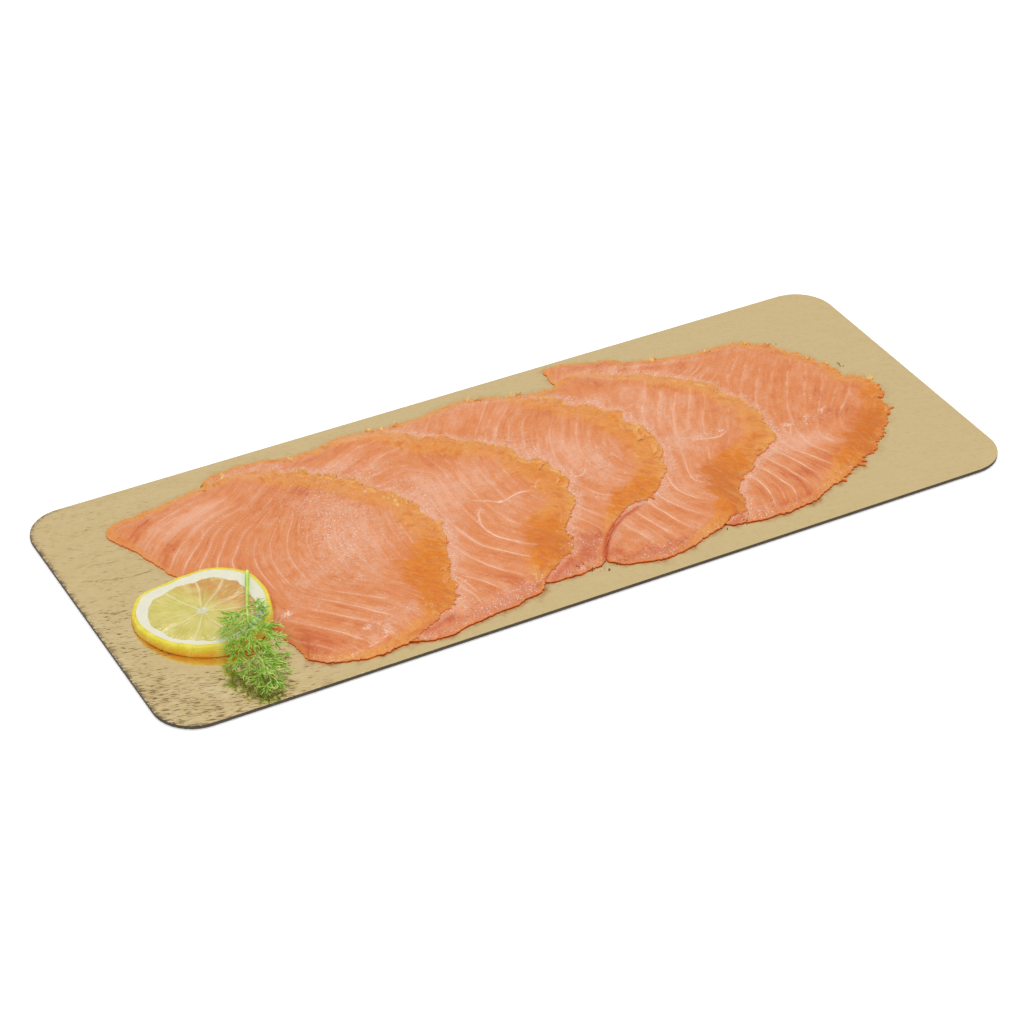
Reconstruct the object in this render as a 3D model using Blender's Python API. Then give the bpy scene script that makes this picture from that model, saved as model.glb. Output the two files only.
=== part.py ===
"""Slices of smoked salmon fanned along a gold card board, with a slice of lemon and a sprig of dill.

The board lies on its bottom face, centred on the origin, its length along X and its front edge towards -Y.
The salmon is laid on it one slice after the other, from the right end to the left, so each slice covers
the left side of the one before. A slice is a thin sheet: a flat outline, cut out of a lattice of triangles
and draped over all that is already there.
"""

import math

import bpy
import numpy as np
from mathutils import Euler, Vector
from mathutils.bvhtree import BVHTree
from mathutils.geometry import delaunay_2d_cdt

MM = 0.001
GAP = 0.3 * MM  # left free between a piece and what it lies on

BOARD_LENGTH = 400 * MM
BOARD_WIDTH = 165 * MM
BOARD_THICKNESS = 1.6 * MM
BOARD_CORNER_RADIUS = 18 * MM
BOARD_EDGE_BEVEL = 0.25 * MM
BOARD_CORNER_STEPS = 10

LATTICE_CELL = 8 * MM
LATTICE_COLUMNS = 24  # on each side of the middle
LATTICE_ROWS = 11
SLICE_THICKNESS = 2.4 * MM
SLICE_RIM = 1.2 * MM  # thickness at the outline
SLICE_TAPER = 9 * MM  # how far in from the outline the full thickness is reached
SLICE_WAVE = 0.5 * MM  # how much a slice rises and falls in places
SLICE_WAVE_LENGTH = (17 * MM, 14 * MM)  # along X and Y, for each radian
SLICE_EDGE_STEP = 4.5 * MM
SLICE_RAGGED = 0.7 * MM  # how far the smoked edge strays from its smooth line
SLICE_RAGGED_BUMPS = (17, 29)  # around the outline, a coarse row and a finer one
SLICE_CUT_RAGGED = 0.3  # share of that unevenness on the edges that were cut cleanly
CURVE_SAMPLES = 2000
SHARP_ANGLE = math.radians(40)
SLICE_STIFFNESS = 2  # rounds of smoothing: more of them bridge a step with a longer slope

LEMON_LENGTH = 58 * MM  # across the slice, along X
LEMON_WIDTH = 50 * MM
LEMON_THICKNESS = 6.5 * MM
LEMON_CENTRE = (-159.5 * MM, -21 * MM)
LEMON_TILT = math.radians(3.3)
LEMON_TURN = math.radians(-6)
LEMON_SQUARENESS = 2.25  # exponent of the oval: 2 is an ellipse, more is squarer
LEMON_SEGMENTS = 36
LEMON_PROBES = 12  # rings of places under the slice where its support is felt for
LEMON_PROFILE = (  # share of the radius, share of the thickness: from the lower face round the rind
    (0.30, 0.03),
    (0.84, 0.03),
    (0.90, 0.00),
    (0.97, 0.12),
    (1.00, 0.50),
    (0.97, 0.88),
    (0.91, 1.00),
    (0.84, 0.94),
    (0.30, 0.94),
)

DILL_CELL = 3.5 * MM
DILL_STEM_HALF_WIDTH = 1.3 * MM
DILL_PLUME_HALF_WIDTH = 11.5 * MM
DILL_PLUME_START = 0.34  # along the spine
DILL_RIM = 1.0 * MM
DILL_HEIGHT = 4.5 * MM
DILL_STEPS = 30
DILL_TUFTS = 6  # on each side of the plume
DILL_TUFT_DEPTH = 0.2  # share of the half width
DILL_OPENING = 6  # how quickly the plume opens at its start
DILL_BELLY = (0.10, 0.92)  # stretch of a half sine that the plume's width follows, from stem to tip
DILL_CLEARANCE = 0.5 * MM

# The outlines, in millimetres, in laying order from the bottom slice to the top one. Each starts at the
# thin tip at the back left and runs clockwise: back edge, smoked edge on the right, front end, covered side.
SLICE_OUTLINES = {
    "salmon_slice_5": (
        (54, 75.5), (76, 71), (97, 61), (120, 55.5), (142, 53.5), (157, 41), (167, 25), (173, 7), (180, -3),
        (175, -18), (167, -32), (148, -48), (126, -59), (100, -68.5), (76, -68), (62, -63), (61, -30),
        (57, 30),
    ),
    "salmon_slice_4": (
        (-4, 65), (25, 65), (49, 61.5), (58, 64.5), (75, 57), (93, 46), (111, 27), (118.5, 2), (115, -20),
        (97, -33), (79, -49), (76, -60), (58, -65.5), (33, -73), (7, -64.5), (12, -47), (27, -33), (22, 0),
        (8, 40),
    ),
    "salmon_slice_3": (
        (-60, 67), (-22, 66), (12, 69), (29, 60.5), (44, 47), (60, 26), (66.5, 0), (60, -18), (47, -33),
        (31, -36), (15, -48), (4, -63), (-24, -63.5), (-39, -46), (-43, -5), (-52, 40),
    ),
    "salmon_slice_2": (
        (-118, 66), (-99, 71), (-82, 67), (-41, 65), (-21, 50), (0, 31), (13, 12), (18.5, -4), (12, -23),
        (0, -38), (-5, -52), (-21, -61), (-30, -69), (-54, -73), (-84, -76), (-96, -65), (-97, -10),
        (-109, 35),
    ),
    "salmon_slice_1": (
        (-170, 56), (-147, 61), (-121, 65.5), (-101, 64), (-84, 54.5), (-63, 36), (-51, 15), (-46, -15),
        (-55, -36), (-63, -58), (-84, -71), (-110, -74.5), (-130, -66), (-134, -50), (-139, -25), (-155, 8),
        (-163, 34),
    ),
}
DILL_SPINE = ((-133, -6), (-138.5, -18), (-143.5, -29), (-148, -45), (-151, -61), (-152.5, -77))


def remove_everything():
    """Clears the scene that the file opens with."""
    for thing in list(bpy.data.objects):
        bpy.data.objects.remove(thing, do_unlink=True)


def principled(name, colour, roughness, metallic=0.0):
    """A plain material."""
    material = bpy.data.materials.new(name)
    material.use_nodes = True
    shader = material.node_tree.nodes["Principled BSDF"]
    shader.inputs["Base Color"].default_value = (*colour, 1)
    shader.inputs["Roughness"].default_value = roughness
    shader.inputs["Metallic"].default_value = metallic
    return material


def new_object(name, vertices, faces, material):
    """An object in the scene, shaded smooth but for its sharp edges."""
    mesh = bpy.data.meshes.new(name)
    mesh.from_pydata(vertices, [], faces)
    mesh.materials.append(material)
    mesh.shade_smooth()
    mesh.set_sharp_from_angle(angle=SHARP_ANGLE)
    made = bpy.data.objects.new(name, mesh)
    bpy.context.scene.collection.objects.link(made)
    return made


def spline(points, closed):
    """A function from 0..1 to a smooth curve through the points: a centripetal Catmull-Rom spline."""
    points = np.array(points, float)
    if closed:
        points = np.vstack([points[-1], points, points[:2]])
    else:
        points = np.vstack([2 * points[0] - points[1], points, 2 * points[-1] - points[-2]])
    knots = np.concatenate([[0], np.cumsum(np.sqrt(np.linalg.norm(np.diff(points, axis=0), axis=1)))])

    def curve(along):
        t = knots[1] + np.asarray(along) * (knots[-2] - knots[1])
        first = np.clip(np.searchsorted(knots, t, side="right") - 1, 1, len(points) - 3)
        p = [points[first + shift] for shift in (-1, 0, 1, 2)]
        k = [knots[first + shift] for shift in (-1, 0, 1, 2)]

        def between(left, right, start, end):
            share = ((t - start) / (end - start))[:, None]
            return left * (1 - share) + right * share

        a = [between(p[i], p[i + 1], k[i], k[i + 1]) for i in range(3)]
        b = [between(a[i], a[i + 1], k[i], k[i + 2]) for i in range(2)]
        return between(b[0], b[1], k[1], k[2])

    return curve


def evenly_spaced(curve, step):
    """Points of a closed curve about a step apart."""
    fine = curve(np.linspace(0, 1, CURVE_SAMPLES + 1))
    run = np.concatenate([[0], np.cumsum(np.linalg.norm(np.diff(fine, axis=0), axis=1))])
    wanted = np.linspace(0, run[-1], round(run[-1] / step) + 1)[:-1]
    return np.stack([np.interp(wanted, run, fine[:, axis]) for axis in (0, 1)], axis=1)


def slice_outline(points, seed):
    """The cut edge of a slice: its smooth outline, made uneven along the smoked edge that faces +X."""
    outline = evenly_spaced(spline(np.array(points) * MM, closed=True), SLICE_EDGE_STEP)
    forward = np.roll(outline, -1, axis=0) - np.roll(outline, 1, axis=0)
    outward = np.stack([-forward[:, 1], forward[:, 0]], axis=1)
    outward /= np.linalg.norm(outward, axis=1)[:, None]
    turn = np.linspace(0, 2 * math.pi, len(outline), endpoint=False)
    coarse, fine = SLICE_RAGGED_BUMPS
    uneven = np.sin(coarse * turn + seed) + np.sin(fine * turn + 2 * seed)
    smoked = SLICE_CUT_RAGGED + (1 - SLICE_CUT_RAGGED) * np.clip(outward[:, 0], 0, 1)
    return outline + outward * (SLICE_RAGGED * uneven * smoked)[:, None]


def depth_inside(outline, x, y):
    """Distance of each place to the outline, positive inside it."""
    start = outline
    side = np.roll(outline, -1, axis=0) - start
    away = np.stack([x, y], axis=-1)[..., None, :] - start
    share = np.clip((away * side).sum(-1) / (side**2).sum(-1), 0, 1)
    nearest = np.linalg.norm(away - share[..., None] * side, axis=-1).min(-1)
    above = away[..., 1] >= 0
    next_above = (away - side)[..., 1] >= 0
    with np.errstate(divide="ignore", invalid="ignore"):
        crossing = away[..., 0] - away[..., 1] * side[:, 0] / side[:, 1]
    inside = ((above != next_above) & (crossing < 0)).sum(-1) % 2 == 1
    return np.where(inside, nearest, -nearest)


def smooth_step(value):
    """0 below 0, 1 above 1, and a soft slope between."""
    value = np.clip(value, 0, 1)
    return value * value * (3 - 2 * value)


class Lattice:
    """A square lattice of points in XY, each square split along its rising diagonal.

    Everything that is draped on one lattice bends along the same lines, so two heights that clear each other
    at its points clear each other everywhere.
    """

    def __init__(self, cell, low_x, low_y, columns, rows):
        self.cell, self.low_x, self.low_y = cell, low_x, low_y
        xs = low_x + cell * np.arange(columns + 1)
        ys = low_y + cell * np.arange(rows + 1)
        self.x, self.y = np.meshgrid(xs, ys, indexing="ij")

    def locate(self, x, y):
        """The square that each place lies in, and how far across and up it that is, from 0 to 1."""
        across, up = (x - self.low_x) / self.cell, (y - self.low_y) / self.cell
        column = np.clip(np.floor(across).astype(int), 0, self.x.shape[0] - 2)
        row = np.clip(np.floor(up).astype(int), 0, self.x.shape[1] - 2)
        return column, row, across - column, up - row

    def height(self, heights, x, y):
        """The heights at the lattice's points, read at other places."""
        column, row, across, up = self.locate(x, y)
        here, far = heights[column, row], heights[column + 1, row + 1]
        lower, upper = heights[column + 1, row], heights[column, row + 1]
        below = here + across * (lower - here) + up * (far - lower)
        above = here + up * (upper - here) + across * (far - upper)
        return np.where(across >= up, below, above)

    def touched(self, x, y):
        """Which of the lattice's points are a corner of a triangle that holds one of the places."""
        column, row, across, up = self.locate(x, y)
        found = np.zeros(self.x.shape, bool)
        found[column, row] = found[column + 1, row + 1] = True
        found[column + (across >= up), row + (across < up)] = True
        return found

    def cut_out(self, outline):
        """Points and triangles of a clockwise outline's inside, with an edge along every lattice line."""
        near = depth_inside(outline, self.x, self.y) > -2 * self.cell
        number = np.full(near.shape, -1)
        number[near] = len(outline) + np.arange(near.sum())
        edges = []
        for over, up in ((1, 0), (0, 1), (1, 1)):
            first = number[: number.shape[0] - over, : number.shape[1] - up]
            second = number[over:, up:]
            both = (first >= 0) & (second >= 0)
            edges.extend(zip(first[both].tolist(), second[both].tolist()))
        places = [Vector(p) for p in outline.tolist()]
        places += [Vector(p) for p in np.stack([self.x[near], self.y[near]], axis=1).tolist()]
        border = [list(range(len(outline)))[::-1]]
        points, _, faces, _, _, source = delaunay_2d_cdt(places, edges, border, 0, 1e-7)
        kept = [list(face) for face, inside in zip(faces, source) if inside]
        used = sorted({corner for face in kept for corner in face})
        new = {old: index for index, old in enumerate(used)}
        return np.array([points[old] for old in used]), [[new[corner] for corner in face] for face in kept]


def drape(lattice, support):
    """The height at which a soft sheet lies on its support: never under it, and with its steps bridged."""
    lying = support.copy()
    for _ in range(SLICE_STIFFNESS):
        padded = np.pad(lying, 1, mode="edge")
        mean = (padded[:-2, 1:-1] + padded[2:, 1:-1] + padded[1:-1, :-2] + padded[1:-1, 2:]) / 4
        lying = np.maximum(support, mean)
    return lying


def sheet_object(name, lattice, outline, underside, thickness_at, material):
    """A closed sheet: the outline's inside at the lattice's heights, its top, and the wall between the two.

    thickness_at gives the thickness for a distance to the outline.
    """
    places, faces = lattice.cut_out(outline)
    below = lattice.height(underside, places[:, 0], places[:, 1])
    above = below + thickness_at(np.maximum(depth_inside(outline, places[:, 0], places[:, 1]), 0))
    count = len(places)
    vertices = np.vstack([np.column_stack([places, below]), np.column_stack([places, above])])
    directed = {(face[i], face[(i + 1) % 3]) for face in faces for i in range(3)}
    rim = sorted((a, b) for a, b in directed if (b, a) not in directed)
    top = [[corner + count for corner in face] for face in faces]
    bottom = [face[::-1] for face in faces]
    wall = [[a, b, b + count, a + count] for a, b in rim]
    return new_object(name, vertices.tolist(), bottom + top + wall, material)


def ringed_object(name, rings, ring_count, material):
    """A solid from rings of equal length, one above the other, closed by its first and its last ring."""
    around = len(rings) // ring_count
    faces = [list(range(around))[::-1], list(range(len(rings) - around, len(rings)))]
    for ring in range(ring_count - 1):
        for step in range(around):
            following = (step + 1) % around
            low, high = ring * around, (ring + 1) * around
            faces.append([low + step, low + following, high + following, high + step])
    return new_object(name, rings, faces, material)


def board_object(material):
    """The card: a flat rectangle with round corners and a slightly broken edge."""
    corner_x = BOARD_LENGTH / 2 - BOARD_CORNER_RADIUS
    corner_y = BOARD_WIDTH / 2 - BOARD_CORNER_RADIUS
    rings = []
    levels = (
        (0, BOARD_EDGE_BEVEL),
        (BOARD_EDGE_BEVEL, 0),
        (BOARD_THICKNESS - BOARD_EDGE_BEVEL, 0),
        (BOARD_THICKNESS, BOARD_EDGE_BEVEL),
    )
    for height, inset in levels:
        for corner, (side_x, side_y) in enumerate(((1, 1), (-1, 1), (-1, -1), (1, -1))):
            for step in range(BOARD_CORNER_STEPS + 1):
                angle = math.pi / 2 * (corner + step / BOARD_CORNER_STEPS)
                radius = BOARD_CORNER_RADIUS - inset
                x = side_x * corner_x + radius * math.cos(angle)
                y = side_y * corner_y + radius * math.sin(angle)
                rings.append((x, y, height))
    return ringed_object("board", rings, len(levels), material)


def lemon_point(angle, share, height):
    """A point of the lemon slice's squarish oval, at a share of its radius."""
    cosine, sine = math.cos(angle), math.sin(angle)
    reach = (abs(cosine) ** LEMON_SQUARENESS + abs(sine) ** LEMON_SQUARENESS) ** (-1 / LEMON_SQUARENESS)
    x = share * LEMON_LENGTH / 2 * reach * cosine
    y = share * LEMON_WIDTH / 2 * reach * sine
    return x, y, height


def lemon_object(lies_on, material):
    """The lemon slice: a thick oval disc with a bulging rind and sunk flesh, leaning on the salmon."""
    angles = [2 * math.pi * step / LEMON_SEGMENTS for step in range(LEMON_SEGMENTS)]
    rings = [
        lemon_point(angle, share, height * LEMON_THICKNESS)
        for share, height in LEMON_PROFILE
        for angle in angles
    ]
    lemon = ringed_object("lemon_slice", rings, len(LEMON_PROFILE), material)
    lemon.rotation_euler = Euler((0, -LEMON_TILT, LEMON_TURN), "XYZ")
    turned = lemon.rotation_euler.to_matrix()
    lift = 0.0
    for ring in range(1, LEMON_PROBES + 1):
        for angle in angles:
            under = turned @ Vector(lemon_point(angle, ring / LEMON_PROBES, 0))
            support = lies_on(under.x + LEMON_CENTRE[0], under.y + LEMON_CENTRE[1])
            lift = max(lift, support + GAP - under.z)
    lemon.location = (*LEMON_CENTRE, lift)
    return lemon


def top_surface(objects):
    """A function that gives the height of the highest of the objects at a place, or else the board's."""
    bpy.context.view_layer.update()
    trees = []
    for thing in objects:
        corners = [thing.matrix_world @ vertex.co for vertex in thing.data.vertices]
        trees.append(BVHTree.FromPolygons(corners, [face.vertices[:] for face in thing.data.polygons]))

    def height(x, y):
        hits = [tree.ray_cast(Vector((x, y, BOARD_LENGTH)), Vector((0, 0, -1)))[0] for tree in trees]
        return max((hit.z for hit in hits if hit), default=BOARD_THICKNESS)

    return height


def highest_nearby(heights):
    """The highest value at each point of a lattice and its eight neighbours."""
    padded = np.pad(heights, 1, mode="edge")
    rows, columns = heights.shape
    shifts = [padded[i : i + rows, j : j + columns] for i in range(3) for j in range(3)]
    return np.max(shifts, axis=0)


def dill_outline():
    """The sprig seen from above: a thin stem that opens into a plume with an uneven edge."""
    along = np.linspace(0, 1, DILL_STEPS)
    spine = spline(np.array(DILL_SPINE) * MM, closed=False)(along)
    forward = np.gradient(spine, axis=0)
    forward /= np.linalg.norm(forward, axis=1)[:, None]
    left = np.stack([-forward[:, 1], forward[:, 0]], axis=1)
    plume = np.clip((along - DILL_PLUME_START) / (1 - DILL_PLUME_START), 0, 1)
    belly = np.sin(math.pi * (DILL_BELLY[0] + (DILL_BELLY[1] - DILL_BELLY[0]) * plume))
    spread = DILL_PLUME_HALF_WIDTH * belly * smooth_step(DILL_OPENING * plume)
    sides = []
    for side, phase in ((1, 0), (-1, math.pi / 2)):
        uneven = 1 + DILL_TUFT_DEPTH * np.sin(2 * math.pi * DILL_TUFTS * plume + phase)
        half_width = np.maximum(DILL_STEM_HALF_WIDTH, spread * uneven)
        sides.append(spine + side * left * half_width[:, None])
    return np.vstack([sides[0], sides[1][::-1]])


def dill_object(lies_on, material):
    """The sprig as one bushy body, draped over the lemon's edge and down to the board."""
    outline = dill_outline()
    margin = 2 * DILL_CELL
    low, high = outline.min(axis=0) - margin, outline.max(axis=0) + margin
    columns, rows = np.ceil((high - low) / DILL_CELL).astype(int)
    lattice = Lattice(DILL_CELL, low[0], low[1], columns, rows)
    support = np.vectorize(lies_on)(lattice.x, lattice.y)
    underside = drape(lattice, highest_nearby(support) + DILL_CLEARANCE)

    def thickness_at(depth):
        return DILL_RIM + DILL_HEIGHT * smooth_step(depth / DILL_PLUME_HALF_WIDTH)

    return sheet_object("dill_sprig", lattice, outline, underside, thickness_at, material)


def salmon_objects(material):
    """The five slices, each draped on the ones laid before it."""
    lattice = Lattice(
        LATTICE_CELL,
        -LATTICE_COLUMNS * LATTICE_CELL,
        -LATTICE_ROWS * LATTICE_CELL,
        2 * LATTICE_COLUMNS,
        2 * LATTICE_ROWS,
    )
    covered = np.full(lattice.x.shape, BOARD_THICKNESS + GAP)

    def thickness_at(depth):
        return SLICE_RIM + (SLICE_THICKNESS - SLICE_RIM) * smooth_step(depth / SLICE_TAPER)

    slices = []
    for order, (name, points) in enumerate(SLICE_OUTLINES.items()):
        outline = slice_outline(points, seed=1 + 2 * order)
        depth = depth_inside(outline, lattice.x, lattice.y)
        wave_x, wave_y = lattice.x / SLICE_WAVE_LENGTH[0], lattice.y / SLICE_WAVE_LENGTH[1]
        wave = (1 + np.sin(wave_x + order) * np.sin(wave_y + 2 * order)) / 2
        rise = SLICE_WAVE * wave * smooth_step(depth / SLICE_TAPER)
        underside = drape(lattice, covered) + rise
        made = sheet_object(name, lattice, outline, underside, thickness_at, material)
        slices.append(made)
        centres = np.array([face.center for face in made.data.polygons])
        covers = lattice.touched(centres[:, 0], centres[:, 1])
        covered = np.where(covers, np.maximum(covered, underside + SLICE_THICKNESS + GAP), covered)
    return slices


def main():
    remove_everything()
    board_object(principled("gold_card", (0.66, 0.54, 0.29), 0.3, metallic=1.0))
    slices = salmon_objects(principled("salmon", (0.80, 0.23, 0.10), 0.35))
    lemon = lemon_object(top_surface(slices), principled("lemon", (0.80, 0.66, 0.12), 0.4))
    dill_object(top_surface([*slices, lemon]), principled("dill", (0.12, 0.30, 0.03), 0.6))


main()
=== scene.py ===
"""Smoked salmon slices fanned along a gold-faced card board, with a lemon slice and a sprig of dill.

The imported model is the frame: every piece is built over the node that it stands for and rides on its body.
Lengths inside the functions are in millimetres, and each mesh is written in metres.
"""

import math

import bpy
import numpy as np
from bpy.props import FloatProperty, FloatVectorProperty, IntProperty, PointerProperty
from bpy.types import Operator, Panel, PropertyGroup
from mathutils import Matrix, Vector


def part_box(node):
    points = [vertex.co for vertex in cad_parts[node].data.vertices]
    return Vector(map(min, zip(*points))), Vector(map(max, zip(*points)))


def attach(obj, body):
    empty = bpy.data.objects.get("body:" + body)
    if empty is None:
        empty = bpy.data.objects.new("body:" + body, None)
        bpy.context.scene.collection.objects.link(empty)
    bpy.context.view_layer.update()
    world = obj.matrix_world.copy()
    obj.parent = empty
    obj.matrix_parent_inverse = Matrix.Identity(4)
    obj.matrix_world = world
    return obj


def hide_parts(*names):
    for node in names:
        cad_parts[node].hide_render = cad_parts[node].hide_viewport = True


bl_info = {
    "name": "Smoked salmon board",
    "version": (1, 0, 0),
    "blender": (4, 5, 0),
    "location": "3D View > Sidebar > Salmon board",
    "description": "Sliced smoked salmon on a gold card board, with lemon and dill",
    "category": "Add Mesh",
}

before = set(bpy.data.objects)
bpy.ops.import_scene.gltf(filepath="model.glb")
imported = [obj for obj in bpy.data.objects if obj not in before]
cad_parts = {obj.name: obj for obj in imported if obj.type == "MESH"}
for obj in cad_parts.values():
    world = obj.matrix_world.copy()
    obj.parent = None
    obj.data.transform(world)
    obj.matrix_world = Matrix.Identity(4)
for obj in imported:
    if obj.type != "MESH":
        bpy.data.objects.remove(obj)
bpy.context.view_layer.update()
BODY = "root"
MM = 0.001
SLICES = 5


def paint(red, green, blue):
    """A colour read off a paint chart, 0 to 255 a channel, as the linear light that Blender takes."""
    share = np.array([red, green, blue]) / 255
    linear = np.where(share <= 0.04045, share / 12.92, ((share + 0.055) / 1.055) ** 2.4)
    return tuple(float(x) for x in linear)


def box_mm(node):
    """The node's lowest and highest corners in millimetres."""
    low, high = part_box(node)
    return np.array(low) / MM, np.array(high) / MM


BOARD_LOW, BOARD_HIGH = box_mm("board")
BOARD_TOP = float(BOARD_HIGH[2])


# ---- settings


def length(name, description, default, **more):
    return FloatProperty(name=name, description=description, default=default * MM, unit="LENGTH", **more)


def colour(name, description, default):
    return FloatVectorProperty(
        name=name, description=description, default=paint(*default), subtype="COLOR", min=0, max=1
    )


class SalmonSettings(PropertyGroup):
    """What the salmon slices are made to."""

    thickness: length("Slice thickness", "How thick a slice is away from its rim", 2.3)
    rim_thickness: length("Rim thickness", "How thick a slice is at its rim", 0.45)
    taper: length("Taper", "How far in from the rim a slice reaches its thickness", 10.0)
    flake_relief: length("Flake relief", "How far the flesh stands up between two lines of fat", 0.22)
    flesh: colour("Flesh", "The orange-pink of the flesh", (217, 134, 80))
    # Pale flesh is also painted as sheen where the flesh is wet.
    pale_flesh: colour("Pale flesh", "The flesh where the slice is thin and moist", (227, 164, 130))
    # Deep flesh is the tone of darker patches and front rims, and also painted shade between the stripes of
    # folds.
    deep_flesh: colour("Deep flesh", "The flesh in hollows and at cut edges", (194, 90, 42))
    fat: colour("Fat", "The thin lines of fat", (250, 206, 176))
    browned: colour("Browned edge", "The smoked outer edge", (216, 121, 0))
    ochre: colour("Ochre edge", "The weaker parts of the smoked edge", (222, 146, 74))
    umber: colour("Umber edge", "The darkest streaks of the smoked edge", (204, 100, 10))


class BoardSettings(PropertyGroup):
    """What the board is made to."""

    foil_thickness: length("Foil thickness", "How far the gold facing stands over the card", 0.12)
    crease_depth: length("Crease depth", "How deep the creases in the facing are", 0.05)
    gold: colour("Gold", "The gold facing", (244, 217, 160))
    # Dark gold is painted shade and reflection in the facing's creases and folds.
    crease_shade_gold: colour("Dark gold", "The creases of the facing", (108, 82, 40))
    card: colour("Card", "The cut edge of the card", (64, 54, 41))
    card_pale: colour("Pale card", "The plies in the cut edge", (104, 92, 74))


class GarnishSettings(PropertyGroup):
    """What the lemon slice and the dill are made to."""

    rind: colour("Rind", "The lemon's yellow rind", (222, 210, 50))
    # Deep rind also paints the board's gold reflected low on the rind's side, and the pores.
    rind_reflection_and_pores: colour("Deep rind", "The rind low on the side", (232, 166, 44))
    pith: colour("Pith", "The white under the rind", (223, 221, 200))
    # Both pulp colours hold painted light through the pulp: the gold below, and warmer over the salmon.
    pulp: colour("Pulp", "The juice cells over the gold", (204, 192, 98))
    pulp_warm: colour("Warm pulp", "The juice cells over the salmon", (202, 142, 70))
    leaf: colour("Leaf", "The dill's leaves", (122, 186, 38))
    leaf_light: colour("Light leaf", "The tips and the stem", (204, 238, 118))
    # Dark leaf is painted shade low in the sprig, and the tone of some leaves at random.
    leaf_dark: colour("Dark leaf", "The leaves low in the sprig", (60, 98, 12))
    frond_twigs: IntProperty(name="Twigs", description="Twigs on a long frond", default=7, min=2)


class StageSettings(PropertyGroup):
    """The floor and the lights."""

    floor: colour("Floor", "The pale floor", (250, 250, 250))
    floor_glow: FloatProperty(name="Floor glow", description="How much the floor lights itself", default=0.3)
    sky_low: FloatProperty(name="Low sky", description="Brightness of the sky near the horizon", default=0.68)
    sky_high: FloatProperty(name="High sky", description="Brightness of the sky overhead", default=1.3)
    key_power: FloatProperty(name="Key", description="Power of the large light", default=4.5, unit="POWER")
    fill_power: FloatProperty(name="Fill", description="Power of the front light", default=3.4, unit="POWER")


def settings(context):
    """The groups of settings, in the order of GROUPS: fish, card, garnish and stage."""
    return [getattr(context.scene, name) for name in GROUPS]


# ---- materials


class Value:
    """A node's output that can be used in sums: each operator adds one Math node."""

    def __init__(self, finish, socket):
        self.finish = finish
        self.socket = socket

    def math(self, operation, *others):
        return self.finish.math(operation, self, *others)

    def __add__(self, other):
        return self.math("ADD", other)

    def __sub__(self, other):
        return self.math("SUBTRACT", other)

    def __rsub__(self, other):
        return self.finish.math("SUBTRACT", other, self)

    def __mul__(self, other):
        return self.math("MULTIPLY", other)

    __radd__ = __add__
    __rmul__ = __mul__

    def least(self, other):
        return self.math("MINIMUM", other)

    def most(self, other):
        return self.math("MAXIMUM", other)

    def size(self):
        return self.math("ABSOLUTE")

    def to_line(self):
        """How far the value is from the nearest whole number, 0 to 0.5."""
        return self.math("PINGPONG", 0.5)

    def sway(self, amount):
        """Noise that stays about 0.5 as a number about 0, this many times as large."""
        return (self - 0.5) * amount

    def rise(self, low, high, start=0.0, end=1.0):
        """The start value below low, the end value above high, and a smooth step between."""
        return self.finish.node(
            "ShaderNodeMapRange",
            {"interpolation_type": "SMOOTHSTEP", "clamp": True},
            {"Value": self, "From Min": low, "From Max": high, "To Min": start, "To Max": end},
        )

    def fall(self, low, high):
        """1 below low, 0 above high, and a smooth step between."""
        return self.rise(low, high, 1.0, 0.0)


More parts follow.
